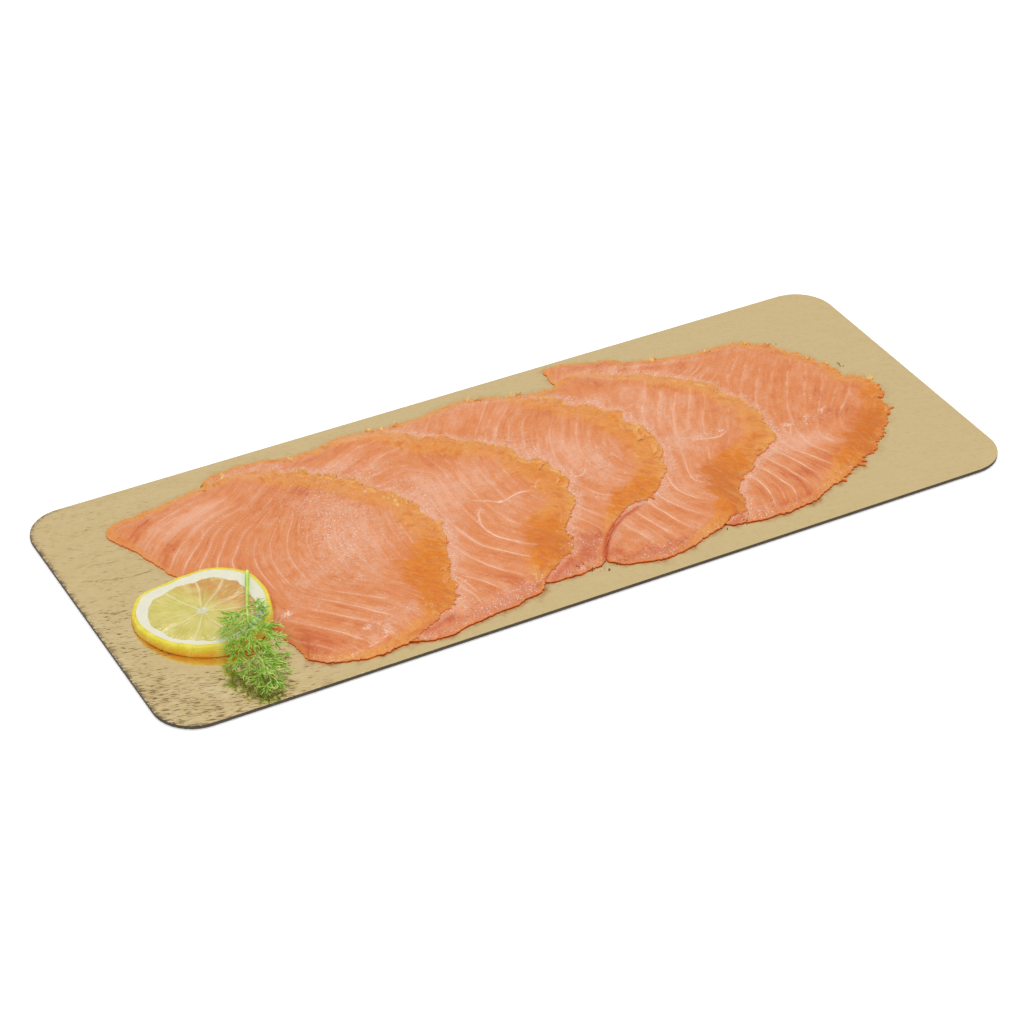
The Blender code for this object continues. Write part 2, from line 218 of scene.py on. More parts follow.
class Finish:
    """A material and its nodes."""

    def __init__(self, name):
        self.material = bpy.data.materials.new(name)
        self.material.use_nodes = True
        self.tree = self.material.node_tree
        self.tree.nodes.clear()

    def node(self, kind, chosen=None, inputs=None, output=0):
        """A node of this kind. Its settings go in first, then the values or links of its sockets."""
        node = self.tree.nodes.new(kind)
        for name, value in (chosen or {}).items():
            setattr(node, name, value)
        for name, value in (inputs or {}).items():
            self.plug(node.inputs[name], value)
        return Value(self, node.outputs[output])

    def plug(self, socket, value):
        if isinstance(value, Value):
            self.tree.links.new(value.socket, socket)
        elif socket.type == "RGBA":
            socket.default_value = (*value[:3], 1.0)
        else:
            socket.default_value = value

    def math(self, operation, *values):
        return self.node("ShaderNodeMath", {"operation": operation}, dict(enumerate(values)))

    def mix(self, share, first, second):
        """The first colour where share is 0, the second where it is 1."""
        chosen = {"data_type": "RGBA", "clamp_factor": True}
        return self.node("ShaderNodeMix", chosen, {0: share, 6: first, 7: second}, output=2)

    def coats(self, shade, *coats):
        """The shade with others laid over it in turn, each given as how much of it shows and its colour."""
        for share, over in coats:
            shade = self.mix(share, shade, over)
        return shade

    def place(self):
        """Object coordinates, in metres."""
        return self.node("ShaderNodeTexCoord", output=3)

    def stretched(self, vector, x=1.0, y=1.0, z=1.0, turn=0.0):
        """The coordinates along axes turned this many degrees about Z, multiplied by these."""
        if turn:
            spin = (0.0, 0.0, math.radians(-turn))
            vector = self.node("ShaderNodeMapping", None, {"Vector": vector, "Rotation": spin})
        return self.node("ShaderNodeMapping", None, {"Vector": vector, "Scale": (x, y, z)})

    def noise(self, vector, grain_mm, detail=2.0, roughness=0.5, distortion=0.0):
        """Cloudy noise whose grain is about this many millimetres."""
        inputs = {"Vector": vector, "Scale": 1 / (grain_mm * MM), "Detail": detail}
        inputs |= {"Roughness": roughness, "Distortion": distortion}
        return self.node("ShaderNodeTexNoise", None, inputs)

    def cells(self, vector, grain_mm):
        """The distance to the nearest of scattered points about this many millimetres apart, in those
        steps."""
        return self.node("ShaderNodeTexVoronoi", None, {"Vector": vector, "Scale": 1 / (grain_mm * MM)})

    def painted(self, name):
        """A value that the mesh carries at its points."""
        return self.node("ShaderNodeAttribute", {"attribute_name": name}, output=2)

    def painted_vector(self, name):
        return self.node("ShaderNodeAttribute", {"attribute_name": name}, output=1)

    def bump(self, height, distance_mm, strength):
        inputs = {"Height": height, "Distance": distance_mm * MM, "Strength": strength}
        return self.node("ShaderNodeBump", None, inputs)

    def done(self, **sockets):
        """Ends in one Principled shader; names are its sockets with _ for a space."""
        shader = self.tree.nodes.new("ShaderNodeBsdfPrincipled")
        for name, value in sockets.items():
            self.plug(shader.inputs[name.replace("_", " ")], value)
        end = self.tree.nodes.new("ShaderNodeOutputMaterial")
        self.tree.links.new(shader.outputs[0], end.inputs["Surface"])
        return self.material


# Shades of the finishes that the settings don't hold.
BURNT, TOASTED = paint(198, 105, 30), paint(188, 98, 34)
# Straw streaks on the smoked edge: paler colour, partly painted highlight.
STRAW_HIGHLIGHT, AMBER = paint(230, 158, 62), paint(236, 176, 88)
# Painted glints: near-white specks and spots on the wet flesh.
PAINTED_GLINT, PAINTED_GLINT_WHITE = paint(255, 232, 220), paint(255, 238, 228)
# The cut flesh of the rims' sides, partly painted shade, and the painted shadow in seams where slices meet.
CUT_FLESH_SHADE, SEAM_SHADOW = paint(216, 122, 64), paint(188, 66, 20)
FLAKE, FLAKE_PALE, FLAKE_RIM = paint(222, 132, 44), paint(234, 176, 92), paint(244, 204, 126)
CRUMB_PALE, CRUMB_DARK = paint(238, 206, 140), paint(140, 88, 42)
# Of these golds, the lightest is a painted highlight beside the creases.
GOLD_CLOUD, GOLD_BAND, GOLD_HIGHLIGHT, GOLD_MOTTLE = (
    paint(250, 226, 170), paint(228, 200, 142), paint(255, 238, 192), paint(222, 192, 132)
)
# The orange-brown here is a painted shadow and reflection of the slices on the facing.
TORN_GOLD, SLICE_SHADOW_BROWN, CARD_FIBRE = paint(70, 52, 28), paint(186, 112, 56), paint(36, 30, 22)
RIND_PALE, RIND_PITTED = paint(240, 224, 110), paint(226, 160, 40)
PULP_STREAK, PULP_DEEP, PULP_CELL = paint(226, 214, 136), paint(188, 168, 74), paint(234, 224, 160)
# The near-white juice drops are painted glints.
PULP_CLOUDY, PULP_SHADE, JUICE_GLINT = paint(220, 206, 132), paint(186, 170, 70), paint(252, 250, 240)
PITH_WARM, MEMBRANE = paint(232, 224, 170), paint(232, 222, 172)
LEAF_BLOT = paint(104, 156, 36)
# Painted glow: the salmon rims' sides and the pale crumbs glow a little, as if lit through.
NO_GLOW, PAINTED_RIM_GLOW, PAINTED_CRUMB_GLOW = paint(0, 0, 0), paint(200, 120, 60), paint(246, 206, 130)
FLOOR_SPECK = paint(252, 252, 252)


def salmon_finish(fish):
    """Moist smoked flesh: traced lines of fat, fainter ones at whole flake values between them, a browned rim
    with ochre blots and straw streaks that are partly painted highlights, paler and deeper patches, painted
    sheen and glints where it is wet, painted shadow in the seams where slices meet, and a painted glow on the
    rims' sides."""
    f = Finish("smoked_salmon")
    place = f.place()
    rim, fibres = f.painted_vector("rim"), f.painted_vector("fibre")
    cloud = f.noise(place, 24.0, 3.0)
    blot = f.noise(place, 5.5, 3.0, 0.55)
    fine = f.noise(place, 1.5, 3.0, 0.6)
    grain = f.noise(place, 0.62, 2.0, 0.6)
    fibre = f.noise(fibres, 1.0, 3.0, 0.62)
    fibre_wide = f.noise(fibres, 3.0, 2.0, 0.5)

    gap = (f.painted("flake") + blot.sway(0.16) + fine.sway(0.05)).to_line()
    between = gap.fall(0.42, 0.5)
    faint = f.painted("fat") * blot.rise(0.36, 0.6)
    sheet = gap.fall(0.0, 0.05).most((1.0 - between) * 0.6) * faint * 0.5
    thread = (f.painted("thread") + fine.sway(0.9)).size()
    thread_amount = f.painted("thread_amount")
    traced = thread.fall(0.3, 1.0) * thread_amount * (0.55 + blot.rise(0.3, 0.6) * 0.45)
    halo = thread.fall(0.6, 4.0) * thread_amount
    lines = sheet.most(traced)

    streak = f.noise(f.stretched(rim, y=0.4), 1.5, 3.0, 0.62)
    blotch = f.noise(f.stretched(rim, y=0.55), 5.0, 3.0, 0.6)
    fringe = f.noise(f.stretched(rim, y=0.2), 1.0, 2.0, 0.5)
    smoke = f.painted("smoke")
    ragged = f.painted("band") + streak.sway(0.7) + blotch.sway(1.3)
    band = ragged.fall(0.7, 1.12) * smoke.rise(0.0, 0.5)

    tone = f.painted("tone") + cloud.sway(1.6) + blot.sway(1.3) + fine.sway(0.9)
    tone = tone + fibre.sway(2.4) + fibre_wide.sway(1.6)
    flesh = f.coats(
        fish.flesh,
        (tone.rise(-0.2, 1.5), fish.pale_flesh),
        (tone.fall(-1.5, 0.1) * 0.9, fish.deep_flesh),
        (halo * 0.3, fish.pale_flesh),
    )
    edge = f.coats(
        fish.ochre,
        ((smoke + blotch.sway(0.9)).rise(0.58, 0.98), fish.browned),
        ((smoke + blotch.sway(0.7)).rise(0.98, 1.35) * 0.8, BURNT),
        # Straw streaks, partly painted highlight.
        (streak.rise(0.48, 0.68) * (1 - smoke.rise(0.8, 1.2) * 0.7) * 0.75, STRAW_HIGHLIGHT),
        ((blotch * 0.6 + blot * 0.4).fall(0.38, 0.5) * 0.6, fish.umber),
        (fringe.fall(0.38, 0.5) * ragged.fall(0.1, 0.9) * smoke.rise(0.4, 0.9) * 0.55, TOASTED),
        (ragged.fall(-0.1, 0.25) * (1 - smoke.rise(0.7, 0.95) * 0.4) * 0.5, AMBER),
    )
    # Wet places: painted sheen, and where painted glints gather.
    wet = f.painted("wet") + cloud.sway(1.4) + blot.sway(1.1)
    # Painted glints: small near-white specks, gathered where the flesh is wet; the specks also raise the
    # bump.
    specks = f.cells(f.stretched(place, y=0.55), 0.8).fall(0.12, 0.5) * grain.rise(0.42, 0.58)
    moist = specks * (wet + fine.sway(2.2)).rise(0.25, 1.25)
    # Painted glints: the larger white spots.
    white = (f.painted("white") * 1.4 * (fine * 0.3 + grain * 0.7).rise(0.46, 0.6)).least(1.0)
    wall = f.painted("wall")
    skin = f.coats(
        flesh,
        (band * 0.93, edge),
        (lines * (1 - band * 0.7) * 0.85, fish.fat),
        # Painted sheen where the flesh is wet.
        (wet.rise(0.3, 1.3) * (1 - band) * 0.35, fish.pale_flesh),
        # Painted glints, small.
        (moist * 0.95, PAINTED_GLINT),
        ((fine + grain.sway(0.6)).fall(0.3, 0.42) * wet.rise(0.1, 0.9) * 0.4, fish.deep_flesh),
        # Painted glints, larger.
        (white * 0.8, PAINTED_GLINT_WHITE),
        # The rims' sides and underside: cut flesh, partly painted shade.
        (wall * 0.7, CUT_FLESH_SHADE),
        # Painted shadow in the seams where slices meet.
        ((f.painted("seam") * (0.6 + fine * 0.9)).least(1.0), SEAM_SHADOW),
    )
    height = fine * 0.45 + grain * 0.35 + fibre * 0.5 + streak * band * 0.5 + lines * 0.2
    height = height + specks * wet.rise(0.0, 0.8) * 0.4
    return f.done(
        Base_Color=skin,
        Roughness=0.28 + grain.sway(0.3) + band * 0.08,
        Normal=f.bump(height, 0.55, 0.8),
        Specular_IOR_Level=0.22,
        # Painted glow on the rims' sides and underside.
        Emission_Color=f.mix(wall, NO_GLOW, PAINTED_RIM_GLOW),
        Emission_Strength=0.18,
        Subsurface_Weight=0.15,
        Subsurface_Radius=(1.0, 0.42, 0.22),
        Subsurface_Scale=0.003,
    )


def crumb_finish(fish):
    """Flakes torn from the smoked edge: ochre, paler and yellower at their borders. Crumbs above 1 are
    straw-pale, with a painted glow, and those below -1 dark."""
    f = Finish("edge_flakes")
    place = f.place()
    blot = f.noise(place, 4.0, 2.0)
    fine = f.noise(place, 0.9, 3.0)
    paleness = f.painted("pale_crumb")
    pale = paleness + blot.sway(0.7)
    shade = f.coats(
        FLAKE,
        (pale.rise(0.0, 1.0), FLAKE_PALE),
        ((f.painted("border") + fine.sway(0.8)).rise(0.5, 1.1) * 0.5, FLAKE_RIM),
        ((fine * 0.7 + blot * 0.3).fall(0.38, 0.5) * 0.5, fish.umber),
        (pale.rise(0.9, 1.7), CRUMB_PALE),
        (paleness.fall(-1.0, -0.5), CRUMB_DARK),
    )
    return f.done(
        Base_Color=shade,
        Roughness=0.34 + fine.sway(0.3),
        Normal=f.bump(fine, 0.3, 0.5),
        # Painted glow on the pale crumbs.
        Emission_Color=f.mix(pale.rise(0.9, 1.7), NO_GLOW, PAINTED_CRUMB_GLOW),
        Emission_Strength=0.1,
    )


def foil_finish(card):
    """Satin gold facing, creased and worn: fine dark strokes and long dark folds painted as shade and
    reflection in the creases, painted highlights beside them, a painted shadow and reflection of the slices
    beside their edges, and card at its cut rim."""
    f = Finish("gold_foil")
    place = f.place()
    crease = f.noise(f.stretched(place, 0.14, turn=CREASE_TURN), 0.55, 2.0, 0.5, 0.1)
    crease_wide = f.noise(f.stretched(place, 0.4, turn=CREASE_TURN), 3.6, 3.0, 0.6, 0.6)
    mottle = f.noise(place, 2.2, 3.0, 0.6)
    cloud = f.noise(place, 60.0, 2.0)
    worn, cut = f.painted("worn"), f.painted("cut")
    # Painted shade and reflection: fine dark strokes in the creases where the facing is worn.
    crease_shade = (crease + crease_wide.sway(0.35) + worn * 0.1).rise(0.655, 0.69) * worn.rise(0.0, 0.4)
    # Painted shade along the long folds.
    fold = (f.painted("fold") + mottle.sway(1.4)).fall(0.3, 1.5) * f.painted("fold_amount")
    torn = f.painted("torn") * (mottle * 0.5 + crease * 0.6).rise(0.5, 0.56)
    # Painted shadow and reflection of the slices, beside their edges.
    slice_shadow = f.painted("slice_shadow") * (0.75 + mottle.sway(2.0))
    shade = f.coats(
        card.gold,
        ((cloud - 0.5).size() * 0.5, GOLD_CLOUD),
        (crease_wide.rise(0.4, 0.68) * (0.1 + worn * 0.35), GOLD_BAND),
        # Painted highlight beside the creases.
        ((crease_wide * 0.5 + crease * 0.5).fall(0.36, 0.47) * (0.12 + worn * 0.6), GOLD_HIGHLIGHT),
        (mottle.rise(0.5, 0.66) * 0.22, GOLD_MOTTLE),
        # Painted shade and reflection in creases and folds.
        (crease_shade.most(fold) * 0.9, card.crease_shade_gold),
        (torn * 0.9, TORN_GOLD),
        (slice_shadow.least(0.9), SLICE_SHADOW_BROWN),
        (cut, card.card),
    )
    height = crease * 0.3 + crease_wide * 0.6 + mottle * 0.25 - crease_shade * 0.3 - fold * 0.5
    return f.done(
        Base_Color=shade,
        Metallic=(1.0 - crease_shade * 0.4 - torn * 0.6) * (1.0 - cut),
        Roughness=0.12 + mottle.sway(0.06) + crease_shade * 0.3 + crease_wide.sway(0.05) + cut * 0.5,
        Normal=f.bump(height, 0.05, 0.3),
    )


def card_finish(card):
    """The cut edge of grey-brown card, in plies."""
    f = Finish("cut_card")
    place = f.place()
    ply = f.noise(f.stretched(place, 0.05, 0.05), 0.35, 2.0, 0.6)
    fibre = f.noise(place, 0.8, 3.0, 0.7)
    chip = f.noise(place, 5.0, 3.0, 0.6)
    shade = f.coats(
        card.card,
        (ply.rise(0.45, 0.7) * 0.4, card.card_pale),
        (fibre.rise(0.55, 0.75) * 0.5, CARD_FIBRE),
        (chip.rise(0.62, 0.72) * 0.5, card.card_pale),
    )
    return f.done(
        Base_Color=shade,
        Roughness=0.75 + fibre.sway(0.2),
        Normal=f.bump(fibre + ply * 0.5, 0.25, 0.7),
    )


def lemon_finish(garnish):
    """Rind with pores and a painted reflection of the board low on it, white pith, membranes and juice cells
    that fan out from the core, with painted light through the pulp from what lies below and painted glints of
    juice.
    """
    f = Finish("lemon_flesh")
    place = f.place()
    spoke = f.painted_vector("spoke")
    pores = f.cells(place, 1.3)
    fine = f.noise(place, 0.8, 3.0)
    blot = f.noise(place, 6.0, 3.0)
    juice = f.noise(f.stretched(spoke, y=0.2), 1.1, 3.0, 0.6)
    cell = f.cells(f.stretched(spoke, y=0.34), 1.5)
    rind = f.coats(
        garnish.rind,
        # Painted reflection of the gold board low on the rind.
        (f.painted("low"), garnish.rind_reflection_and_pores),
        (pores.fall(0.1, 0.5) * 0.22, garnish.rind_reflection_and_pores),
        (blot.rise(0.45, 0.65) * 0.5, RIND_PALE),
        ((fine * 0.6 + blot * 0.4).fall(0.36, 0.48) * 0.45, RIND_PITTED),
    )
    pulp = f.coats(
        garnish.pulp,
        # Painted light through the pulp: warmer where it lies over the salmon.
        (f.painted("salmon_seen_through"), garnish.pulp_warm),
        (juice.rise(0.5, 0.72) * 0.35, PULP_STREAK),
        (juice.fall(0.34, 0.5) * 0.3, PULP_DEEP),
        (cell.rise(0.55, 0.8) * 0.22, PULP_CELL),
        (blot.rise(0.45, 0.7) * 0.5, PULP_CLOUDY),
        (blot.fall(0.3, 0.5) * 0.35, PULP_SHADE),
        # Painted glints of juice near the pith's edge.
        (pores.fall(0.14, 0.3) * f.painted("juice_glint_place") * fine.rise(0.4, 0.55), JUICE_GLINT),
    )
    pulp_here = (f.painted("pulpy") + fine.sway(0.7) + juice.sway(0.5)).rise(0.3, 0.7)
    rind_here = (f.painted("rindy") + fine.sway(0.2)).rise(0.4, 0.6)
    membrane = f.painted("membrane")
    shade = f.coats(
        garnish.pith,
        (blot.rise(0.35, 0.7) * 0.15, PITH_WARM),
        (pulp_here, pulp),
        (membrane * (0.2 + blot * 0.6), MEMBRANE),
        (f.painted("core"), garnish.pith),
        (rind_here, rind),
    )
    height = pulp_here * juice * 0.8 + pores.rise(0.0, 0.5) * rind_here * 0.6 + fine * 0.25
    return f.done(
        Base_Color=shade,
        Roughness=0.4 - pulp_here * 0.16 - rind_here * 0.06 + membrane * 0.2 + fine.sway(0.1),
        Normal=f.bump(height, 0.4, 0.6),
        Subsurface_Weight=0.3,
        Subsurface_Scale=0.004,
        Subsurface_Radius=(1.0, 0.8, 0.3),
    )


def dill_finish(garnish):
    """Fresh green with lighter tips, and leaves low in the sprig darker by painted shade, some others darker
    at random.
    """
    f = Finish("dill_leaf")
    place = f.place()
    fine = f.noise(place, 1.6, 2.0)
    blot = f.noise(place, 7.0, 2.0)
    shade = f.coats(
        garnish.leaf,
        (f.painted("tip"), garnish.leaf_light),
        # Painted shade low in the sprig, and darker leaves at random.
        (f.painted("deep"), garnish.leaf_dark),
        (blot.rise(0.45, 0.68) * 0.35, LEAF_BLOT),
        (fine.rise(0.55, 0.75) * 0.35, garnish.leaf_light),
    )
    return f.done(
        Base_Color=shade,
        Roughness=0.46 + fine.sway(0.2),
        Specular_IOR_Level=0.3,
        Normal=f.bump(fine, 0.15, 0.3),
        Subsurface_Weight=0.35,
        Subsurface_Scale=0.0015,
        Subsurface_Radius=(0.6, 1.0, 0.2),
    )


# ---- mesh helpers


def solid(name, points_mm, quads, triangles, finish, painted, vectors=None, flat=0):
    """A mesh object from arrays of points, four-sided and three-sided faces, with values painted on its
    points. If flat is given, that many of the last four-sided faces stay flat, and all three-sided ones with
    them."""
    mesh = bpy.data.meshes.new(name)
    quads = np.asarray(quads, np.int32).reshape(-1, 4)
    triangles = np.asarray(triangles, np.int32).reshape(-1, 3)
    corners = np.concatenate([quads.ravel(), triangles.ravel()])
    starts = np.concatenate([np.arange(len(quads)) * 4, len(quads) * 4 + np.arange(len(triangles)) * 3])
    mesh.vertices.add(len(points_mm))
    mesh.vertices.foreach_set("co", (np.asarray(points_mm) * MM).astype(np.float32).ravel())
    mesh.loops.add(len(corners))
    mesh.loops.foreach_set("vertex_index", corners.astype(np.int32))
    mesh.polygons.add(len(starts))
    mesh.polygons.foreach_set("loop_start", starts.astype(np.int32))
    for given, kind, field in ((painted, "FLOAT", "value"), (vectors or {}, "FLOAT_VECTOR", "vector")):
        for title, values in given.items():
            layer = mesh.attributes.new(title, kind, "POINT")
            layer.data.foreach_set(field, np.asarray(values, np.float32).ravel())
    mesh.update(calc_edges=True)
    if mesh.validate(clean_customdata=False):
        raise ValueError(f"{name} has faces that don't close")
    mesh.shade_smooth()
    if flat:
        smooth = np.ones(len(starts), bool)
        smooth[len(quads) - flat :] = False
        mesh.polygons.foreach_set("use_smooth", smooth)
    mesh.materials.append(finish)
    piece = bpy.data.objects.new(name, mesh)
    bpy.context.scene.collection.objects.link(piece)
    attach(piece, BODY)
    return piece


def lattice_faces(index):
    """The four-sided faces between the rows and columns of an array of point numbers."""
    return np.stack([index[:-1, :-1], index[1:, :-1], index[1:, 1:], index[:-1, 1:]], axis=-1).reshape(-1, 4)


def border_of(index):
    """The point numbers round the border of such an array, once each."""
    return np.concatenate([index[0, :], index[1:, -1], index[-1, -2::-1], index[-2:0:-1, 0]])


def wrapped(index):
    """The array with its first column again after its last, so that its faces close the ring."""
    return np.concatenate([index, index[:, :1]], axis=1)


def repeated(faces, count, step):
    """The faces of one piece for each of several like it, whose points follow this many after one another."""
    return (faces[None] + (np.arange(count) * step)[:, None, None]).reshape(-1, faces.shape[-1])


def fan(middle, ring):
    """Three-sided faces from one point to each side of a closed ring of points."""
    return np.stack([np.full(len(ring), middle), ring, np.roll(ring, -1)], axis=-1)


def turned_rows(rows, columns):
    """Faces of rows of points round a closed loop of columns, with a pole before the first row and one after
    the last. Point (row, column) is row * columns + column, and the two poles follow the grid."""
    index = np.arange(rows * columns).reshape(rows, columns)
    quads = lattice_faces(wrapped(index))
    far_cap = fan(rows * columns + 1, index[-1])[:, [0, 2, 1]]
    return quads, np.concatenate([fan(rows * columns, index[0]), far_cap])


def smooth_step(x):
    x = np.clip(x, 0, 1)
    return x * x * (3 - 2 * x)


def cloud_value(x, y, cell, seed, octaves=1):
    """Smooth noise about 0, within about 1: random heights on a square lattice, blended with a smooth step.

    Each octave halves the cell and the height. The lattice repeats, and each octave starts elsewhere on it.
    """
    wide, deep = 97, 89
    shift_x, shift_y = 211.3, 177.7
    total = np.zeros(np.broadcast(x, y).shape)
    height = 1.0
    for octave in range(octaves):
        table = np.random.default_rng(seed + octave).uniform(-1, 1, (wide, deep))
        u, v = x / cell + shift_x * (octave + 1), y / cell + shift_y * (octave + 1)
        i, j = np.floor(u).astype(int), np.floor(v).astype(int)
        s, t = smooth_step(u - i), smooth_step(v - j)
        near = table[i % wide, j % deep] * (1 - s) + table[(i + 1) % wide, j % deep] * s
        far = table[i % wide, (j + 1) % deep] * (1 - s) + table[(i + 1) % wide, (j + 1) % deep] * s
        total += height * (near * (1 - t) + far * t)
        cell, height = cell / 2, height / 2
    return total


def ring_noise(share, waves, seed):
    """Noise round a loop, about 0 and mostly within 1: a sum of sines, each with a whole number of waves near
    the given one, over the root of how many there are."""
    random = np.random.default_rng(seed)
    count = 14
    turns = np.round(waves * random.uniform(0.55, 1.6, count))
    phases = random.uniform(0, 2 * math.pi, count)
    sizes = random.uniform(0.5, 1.0, count)
    sines = np.sin(2 * math.pi * turns[:, None] * share[None, :] + phases[:, None]) * sizes[:, None]
    return sines.sum(0) / math.sqrt(count) / 0.9


# ---- reading the frame


def triangles_of(node):
    """The node's triangles in millimetres, as an array of three corners."""
    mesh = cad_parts[node].data
    mesh.calc_loop_triangles()
    points = np.empty(len(mesh.vertices) * 3)
    mesh.vertices.foreach_get("co", points)
    corners = np.empty(len(mesh.loop_triangles) * 3, np.int32)
    mesh.loop_triangles.foreach_get("vertices", corners)
    return points.reshape(-1, 3)[corners.reshape(-1, 3)] / MM


def looking_up(triangles):
    """Those whose normal rises at more than about 17 degrees."""
    normals = np.cross(triangles[:, 1] - triangles[:, 0], triangles[:, 2] - triangles[:, 0])
    normals /= np.maximum(np.linalg.norm(normals, axis=1, keepdims=True), 1e-12)
    return triangles[normals[:, 2] > 0.3]


def rim_of(node):
    """The outline of a sheet in plan: the edges that only one upward triangle has, joined end to end. Corners
    are the same where they match to a two-hundredth of a millimetre."""
    faces = looking_up(triangles_of(node))[:, :, :2]
    keys = np.round(faces * 200).astype(np.int64)
    edges = {}
    for face, key in zip(faces, keys):
        for a in range(3):
            edges[tuple(key[a]), tuple(key[(a + 1) % 3])] = face[a]
    following = {start: (end, point) for (start, end), point in edges.items() if (end, start) not in edges}
    loops = []
    while following:
        first = next(iter(following))
        loop, at = [], first
        while at in following:
            at, point = following.pop(at)
            loop.append(point)
        loops.append(np.array(loop))
    return max(loops, key=len)


def softened_ring(values, around, reach):
    """A bell-shaped average of each row of values along a closed ring; around is the ring's whole length."""
    count = values.shape[-1]
    away = np.minimum(np.arange(count), count - np.arange(count)) * around / count
    bell = np.exp(-0.5 * (away / reach) ** 2)
    return np.real(np.fft.ifft(np.fft.fft(values) * np.fft.fft(bell / bell.sum())))


def run_of(points):
    """How far along a line of points each one lies."""
    return np.concatenate([[0], np.cumsum(np.linalg.norm(np.diff(points, axis=0), axis=1))])


def evenly_round(loop, count, soften_mm):
    """Points at equal steps along a closed outline, softened along it, and the outline's length."""
    closed = np.vstack([loop, loop[:1]])
    along = run_of(closed)
    steps = np.linspace(0, along[-1], count, endpoint=False)
    points = np.stack([np.interp(steps, along, closed[:, k]) for k in range(2)])
    return softened_ring(points, along[-1], soften_mm).T, along[-1]


def along_and_outward(rim, step):
    """The direction along an outline that runs anticlockwise, and the one outward, at each of its points."""
    along = np.roll(rim, -step, axis=0) - np.roll(rim, step, axis=0)
    along /= np.linalg.norm(along, axis=1, keepdims=True)
    return along, np.stack([along[:, 1], -along[:, 0]], axis=1)


class Ground:
    """The height of whatever lies highest so far, on a lattice over the board."""

    CELL, MARGIN = 1.0, 12.0
    # How wide a hollow a sheet bridges, and how softly it follows the ground, inside and at its rim.
    BRIDGED, SOFT_INSIDE, SOFT_RIM = 3.2, 1.3, 0.8
    # The gap below a sheet inside and at its rim, and how far in from the rim the one gives way to the other.
    GAP_INSIDE, GAP_RIM, RIM_REACH = 0.06, 0.02, 5.0

    def __init__(self, height):
        self.start = BOARD_LOW[:2] - self.MARGIN
        self.counts = np.ceil((BOARD_HIGH[:2] - self.start + self.MARGIN) / self.CELL).astype(int) + 1
        self.heights = np.full(self.counts, float(height))

    def softened(self, values, reach):
        """A bell-shaped average over the lattice, along one axis and then the other."""
        for axis in (0, 1):
            count = values.shape[axis]
            offset = (np.arange(count)[:, None] - np.arange(count)[None, :]) * self.CELL
            bell = np.exp(-0.5 * (offset / reach) ** 2)
            bell /= bell.sum(1, keepdims=True)
            values = np.moveaxis(np.tensordot(bell, values, axes=(1, axis)), 0, axis)
        return values

    def sampled(self, values, x, y):
        """The values at points, by a straight blend between the four lattice points round each."""
        u = np.clip((x - self.start[0]) / self.CELL, 0, self.counts[0] - 1.001)
        v = np.clip((y - self.start[1]) / self.CELL, 0, self.counts[1] - 1.001)
        i, j = u.astype(int), v.astype(int)
        s, t = u - i, v - j
        near = values[i, j] * (1 - s) + values[i + 1, j] * s
        far = values[i, j + 1] * (1 - s) + values[i + 1, j + 1] * s
        return near * (1 - t) + far * t

    def under(self, x, y, distance):
        """How high the underside of a sheet lies at points this far from its rim: it touches what is below at
        its rim, and bridges the small hollows further in."""
        bridged = np.maximum(self.heights, self.softened(self.heights, self.BRIDGED))
        inner = self.sampled(self.softened(bridged, self.SOFT_INSIDE), x, y) + self.GAP_INSIDE
        outer = self.sampled(self.softened(self.heights, self.SOFT_RIM), x, y) + self.GAP_RIM
        share = smooth_step(distance / self.RIM_REACH)
        return inner * share + outer * (1 - share)

    def lay(self, x, y, z):
        """Takes in the top of a new sheet, given as closely spaced points."""
        i = np.round((x.ravel() - self.start[0]) / self.CELL).astype(int)
        j = np.round((y.ravel() - self.start[1]) / self.CELL).astype(int)
        cell = i * self.counts[1] + j
        size = int(np.prod(self.counts))
        hits = np.bincount(cell, minlength=size).reshape(self.counts).astype(float)
        total = np.bincount(cell, weights=z.ravel(), minlength=size).reshape(self.counts)
        mean = np.where(hits > 0, total / np.maximum(hits, 1), 0)
        known = (hits > 0).astype(float)
        spread = self.softened(known, 1.0)
        filled = np.where(known > 0, mean, self.softened(mean * known, 1.0) / np.maximum(spread, 1e-6))
        self.heights = np.where(spread > 0.5, filled, self.heights)


# ---- the salmon's markings


